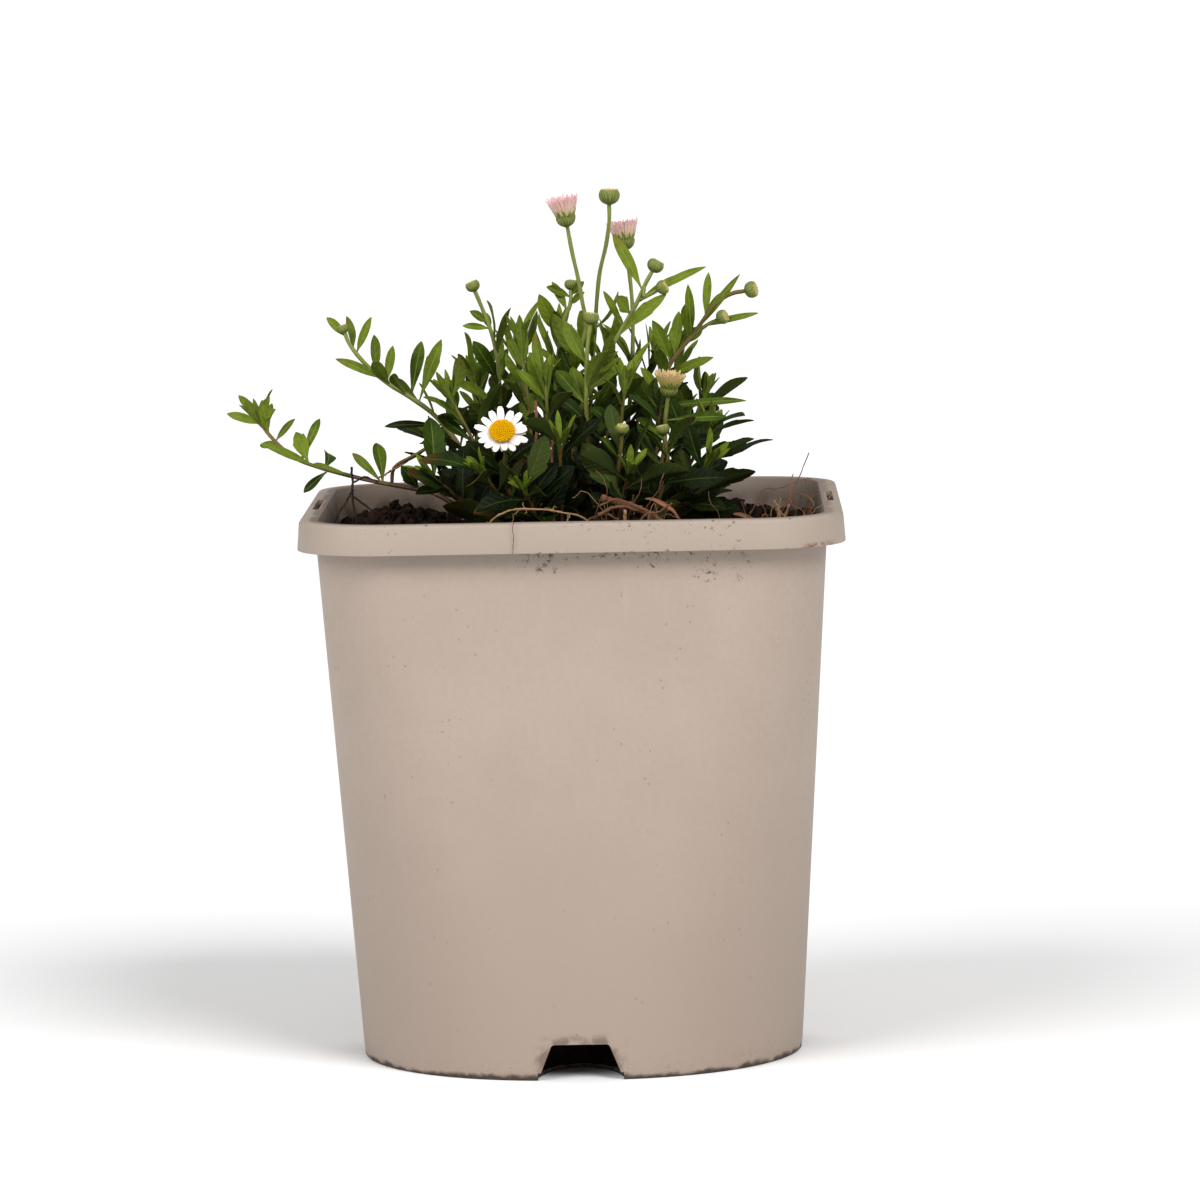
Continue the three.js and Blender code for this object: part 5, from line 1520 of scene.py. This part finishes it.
# Loose bits: finish (0 brown, 1 pale, 2 reddish), thickness and the places that they pass
LOOSE = [
    (0, 0.14, [(19.6, -52, 164.4), (19.3, -52, 161.7), (18.2, -52, 158.9), (17, -52, 157), (15.5, -51, 152)]),
    (0, 0.14, [(25.7, -54, 165.9), (24.5, -54, 162.5), (22.3, -54, 158.8), (20, -54, 155.5), (19, -53, 151)]),
    (2, 0.12, [(7.1, -50, 166.6), (8.7, -50, 164.4), (9.7, -50, 161.7), (10, -50, 159.2), (10.6, -50, 153)]),
    (0, 0.55, [(7.5, -56, 154.8), (13, -56, 156.9), (19, -56, 155.4), (24, -55, 151.5)]),
    (0, 0.3, [(8.1, -56, 157.5), (12.2, -56, 158.8), (19, -56, 156.5), (22.2, -56, 154.3), (25, -55, 150.5)]),
    (0, 0.35, [(17, -61, 150), (20.3, -62, 155.1), (23.9, -62, 155.8), (27.7, -62, 158.2)]),
    (1, 0.5, [(14.9, -60, 156.1), (14.9, -60, 154.5), (14.8, -59.5, 150)]),
    (0, 0.15, [(65.3, -50, 170.3), (63.6, -50, 165.6), (61.9, -50, 161.6), (60.2, -50, 158.3),
               (56.9, -50, 153), (54, -49, 146)]),
    (2, 0.15, [(61, -47, 164.4), (60, -48, 160.1), (60.5, -48, 156.5), (63.5, -48, 154), (64.5, -47, 146)]),
    (0, 0.14, [(64.5, -45, 162.5), (65.2, -45, 158.3), (64.3, -45, 153.7), (62, -45, 145.5)]),
    (0, 0.12, [(48, -35, 150), (52.5, -35, 158.6), (57.5, -35, 159.9), (63, -35, 161.4), (66.3, -35, 162.2)]),
    (1, 0.12, [(63, -54, 146), (65.8, -55, 154.5), (68.6, -56, 156.9), (71.3, -57, 159.6)]),
    (1, 0.15, [(55.5, -52, 157.7), (56.1, -52, 155.5), (57.1, -52, 153.3), (57.5, -51, 146)]),
    (0, 0.12, [(37.6, -55, 160.7), (38.1, -55, 156.9), (39.9, -55, 154.4), (41, -54, 145)]),
    (0, 0.12, [(-15.1, -74.9, 157.2), (-15.2, -75.4, 154.6), (-15.3, -75.5, 150), (-15.5, -75.6, 146.3)]),
    (3, 0.34, [(-60.8, -20, 160), (-63, -20, 156), (-66, -20, 151.5), (-67, -20, 147)]),
    (3, 0.3, [(-60.7, -20, 158), (-56, -18, 154), (-52, -17, 151), (-50, -17, 146)]),
    (3, 0.28, [(-61, -20, 162), (-57.5, -19, 163.5), (-54, -18, 162)]),
    (3, 0.38, [(-61.1, -20, 166.3), (-60.9, -20, 162.7), (-60.7, -20, 158.8), (-60, -20, 152),
               (-59, -20, 145)]),
    (2, 0.3, [(-36.7, -13, 172.9), (-42.4, -13, 169.7), (-48, -13, 165.8), (-52.2, -13, 163.7),
               (-54.5, -13, 162.6)]),
    (2, 0.45, [(-9.5, -28, 184.3), (-9.6, -28, 179.1), (-9.9, -28, 170), (-8, -27, 158), (-7, -26, 146)]),
    (2, 0.45, [(-4.9, -30, 174.8), (-5, -30, 170.8), (-5.4, -30, 160), (-5, -29, 146)]),
    (0, 0.4, [(-1.5, -44, 148), (3, -47, 152), (8.5, -50, 154.5), (13, -54, 153.5)]),
    (2, 0.35, [(38, -30, 147), (44, -34, 150), (50, -37, 149), (55, -41, 146)]),
    (1, 0.14, [(-40, -50, 147), (-35, -53, 151), (-29, -55, 150.5), (-24, -58, 147)]),
]


def wiggly(points, luck, amount, count):
    """A path through points that strays a little from its smooth curve."""
    path = Path(points).many(count)
    sway = np.cumsum(luck.standard_normal((count, 3)), axis=0)
    sway -= np.linspace(sway[0], sway[-1], count)
    sway /= max(1.0, np.abs(sway).max())
    return path + sway * amount


def bar_look(luck, share):
    return np.stack([np.full(len(share), luck.random()), np.zeros(len(share)), share], -1)


def make_dry_pieces(finishes, luck):
    """The larger dry pieces that the CAD model has too, each with a few thin side roots."""
    count = 48
    share = np.linspace(0, 1, count)
    for name, (radius, given) in DRY_PIECES.items():
        points = [(x, y, float(soil_height(x, y)) + radius + 0.5 + rise) for x, y, rise in given]
        path = wiggly(points, luck, radius * 0.35, count)
        slim = 0.45 if name == "dry_root_arc" else 0.75
        radii = radius * (slim + 0.1 * np.sin(share * 31) + 0.07 * luck.standard_normal(count))
        form = Form()
        add_tube(form, path, radii, 12, 0, bar_look(luck, share))
        for _ in range(6):
            i = int(luck.integers(6, 42))
            side = path[i] + unit(luck.standard_normal(3)) * luck.uniform(2, 5)
            hair = wiggly([path[i], (path[i] + side) / 2 + [0, 0, 0.4], side], luck, 0.4, 8)
            add_tube(form, hair, 0.12, 5, 0, (0.5, 0, 0.4))
        finish = finishes[{"dry_root_arc": 1, "dry_stalk_right": 3}.get(name, 0)]
        form.piece(name + "_fine", [finish], "dry_stem", [name], 50)


def add_loose(form, luck):
    """The loose bits that the photograph shows one by one."""
    count = 30
    share = np.linspace(0, 1, count)
    for finish, radius, points in LOOSE:
        path = wiggly(points, luck, 0.5, count)
        radii = radius * (1.0 - 0.25 * share + 0.09 * luck.standard_normal(count))
        add_tube(form, path, radii, 9, finish, bar_look(luck, share))


def add_thread(form, points, luck, sway, count, thinnest, thickest, share=0.4):
    """A thin root in one of the three paler finishes."""
    path = wiggly(points, luck, sway, count)
    radius = luck.uniform(thinnest, thickest)
    finish = int(luck.integers(0, 3))
    add_tube(form, path, radius, 5, finish, (luck.random(), 0, share))


def add_threads(form, luck):
    """Thin roots flat on the soil, standing in the right front corner, and low along the front."""
    for _ in range(210):
        x, y = luck.uniform(-62, 62, 2)
        turn, reach = luck.uniform(0, 6.3), luck.uniform(2, 9)
        start = np.array([x, y, ground(x, y) + 0.2])
        end = start + np.array([math.cos(turn), math.sin(turn), 0]) * reach
        if max(abs(end[0]), abs(end[1])) > 64:
            continue
        end[2] = ground(end[0], end[1]) + 0.25
        middle = (start + end) / 2 + [0, 0, luck.uniform(0.3, 1.8)]
        add_thread(form, [start, middle, end], luck, 0.7, 12, 0.08, 0.2, 0.5)
    for _ in range(18):
        x, y = luck.normal((60, -46), (5.5, 6))
        x, y = min(x, 66), max(min(y, -34), -60)
        z = ground(x, y)
        rise = luck.uniform(3, 12)
        lean, turn = luck.uniform(3, 9), luck.uniform(0, 6.3)
        peak = np.array([x + lean * math.cos(turn), y + lean * math.sin(turn) * 0.5, z + rise])
        end = peak + [luck.uniform(-3, 4), luck.uniform(-2, 2), luck.uniform(-0.8, 0.4) * rise]
        add_thread(form, [(x, y, z - 1), peak, end], luck, 0.7, 18, 0.08, 0.14)
    for _ in range(30):
        x, y = luck.uniform(-26, 42), luck.uniform(-62, -46)
        z = ground(x, y)
        rise = luck.uniform(1, 4) if luck.random() < 0.8 else luck.uniform(5, 10)
        reach = luck.uniform(-11, 11)
        peak = np.array([x + reach * 0.6, y - 1, z + rise])
        end = np.array([x + reach, y + luck.uniform(-3, 2), z + rise * luck.uniform(0, 0.9)])
        add_thread(form, [(x, y, z - 0.5), peak, end], luck, 0.6, 16, 0.09, 0.18)


DRY_LEAF = [(20.5, -51, 158.6), (22.5, -50, 158.0), (25, -50, 156.6), (27.8, -50, 155), (30, -50, 152)]
DRY_LEAF_HALF_WIDTHS = np.array([0.3, 0.8, 1.2, 1.5, 1.6, 1.4, 1.0, 0.6, 0.15])


def add_dry_leaves(form):
    """Three curled dry leaves: how far each is moved, its face, finish, tint and cup."""
    spine = Path(DRY_LEAF).many(9)
    for moved, face, finish, kin, cup in (
        ([0, 0, 0], [0.1, -0.25, 0.9], 2, 0.3, 0.35),
        ([-34, 6, -6], [-0.3, -0.3, 0.8], 0, 0.6, -0.5),
        ([24, 16, -6], [0.3, -0.3, 0.8], 0, 0.9, 0.4),
    ):
        add_strip(form, spine + moved, np.array(face), DRY_LEAF_HALF_WIDTHS, 0.15, finish, kin, cup)


def make_litter(finishes):
    luck = np.random.default_rng(8)
    make_dry_pieces(finishes, luck)
    form = Form()
    add_loose(form, luck)
    add_threads(form, luck)
    add_dry_leaves(form)
    form.piece("litter", finishes, "dry_stem", (), 50)


# The camera, the light and the floor

def camera_view():
    """The camera at the photograph's viewing angle."""
    heading, pitch, roll = (math.radians(turn) for turn in (CAMERA.heading, CAMERA.pitch, CAMERA.roll))
    level = np.array([-math.sin(heading), math.cos(heading), 0])
    ahead = level * math.cos(pitch) - UP * math.sin(pitch)
    right = np.array([math.cos(heading), math.sin(heading), 0])
    above = np.cross(right, ahead)
    x_axis = right * math.cos(roll) - above * math.sin(roll)
    y_axis = right * math.sin(roll) + above * math.cos(roll)
    data = bpy.data.cameras.new("photo_camera")
    data.lens, data.sensor_width = CAMERA.lens, CAMERA.film
    data.clip_start, data.clip_end = 0.1, 200
    camera = put("photo_camera", data)
    place = Matrix.Identity(4)
    for row in range(3):
        place[row][0], place[row][1], place[row][2] = x_axis[row], y_axis[row], -ahead[row]
    place.translation = Vector(CAMERA.place) * MM
    camera.matrix_world = place
    bpy.context.scene.camera = camera


def studio():
    """An even white sky, two broad lights and a pale floor."""
    world = bpy.data.worlds.new("studio")
    world.use_nodes = True
    sky = world.node_tree.nodes["Background"]
    sky.inputs["Color"].default_value = (1, 1, 1, 1)
    sky.inputs["Strength"].default_value = SKY
    bpy.context.scene.world = world
    for name, way, strength, spread in SUNS:
        data = bpy.data.lights.new(name, "SUN")
        data.energy, data.angle = strength, math.radians(spread)
        sun = put(name, data)
        sun.rotation_euler = Vector(way).to_track_quat("-Z", "Y").to_euler()
    mesh = bpy.data.meshes.new("floor")
    mesh.from_pydata([(-40, -40, 0), (40, -40, 0), (40, 40, 0), (-40, 40, 0)], [], [(0, 1, 2, 3)])
    mesh.materials.append(studio_floor())
    floor = put("floor", mesh)


stems = []
for given in STEMS:
    stem = SimpleNamespace(**{**PLAIN_STEM, **given})
    stem.curve = stem_path(stem)
    if stem.branch:
        stem.branch_curve = Path([stem.curve.at(stem.branch["at"]), *stem.branch["points"]])
    stems.append(stem)
place_leaves(stems)

pale_tops = ray_skin(
    "bud_top", linear(120, 124, 44), linear(176, 168, 92), linear(196, 188, 122), linear(146, 132, 60)
)
plant_finishes = [leaf_green(), stem_skin(), bract_green(), pale_tops]
for order, stem in enumerate(stems):
    add_plant(stem, order, plant_finishes)

pink = ray_skin(
    "pink_ray", linear(204, 200, 110), linear(236, 202, 190), linear(240, 188, 200), linear(206, 168, 140)
)
cream = ray_skin(
    "cream_ray", linear(170, 166, 60), linear(212, 190, 116), linear(228, 196, 158), linear(168, 150, 66)
)
white = ray_skin(
    "white_ray", linear(226, 216, 196), linear(250, 247, 244), linear(252, 244, 242), linear(226, 214, 208)
)
heads = {stem.name: stem for stem in stems if stem.head}
add_rays(heads["stem_pink_left"], pink, "pink_ray", "rays_pink_left")
add_rays(heads["stem_pink_right"], pink, "pink_ray", "rays_pink_right")
add_rays(heads["stem_cream"], cream, "cream_ray", "rays_cream")
add_rays(heads["stem_daisy"], white, "white_ray", "rays_daisy")
add_disc(heads["stem_daisy"], disc_yellow())

make_pot(pot_plastic())
make_soil(potting_mix("soil", linear(10, 6, 3), linear(36, 24, 15)))
make_crumbs(potting_mix("soil_crumbs", linear(9, 6, 3), linear(40, 26, 16)))
brown = dry_fibre("dry_brown", linear(52, 34, 22), linear(132, 98, 68), linear(118, 72, 46))
straw = dry_fibre("dry_straw", linear(120, 88, 58), linear(180, 144, 106), linear(168, 126, 88))
russet = dry_fibre("dry_russet", linear(92, 56, 38), linear(158, 108, 76), linear(140, 82, 56))
black = dry_fibre("dry_black", linear(20, 14, 10), linear(58, 40, 27), linear(46, 29, 19))
make_litter([brown, straw, russet, black])

camera_view()
studio()
bpy.context.scene.view_settings.view_transform = "Standard"
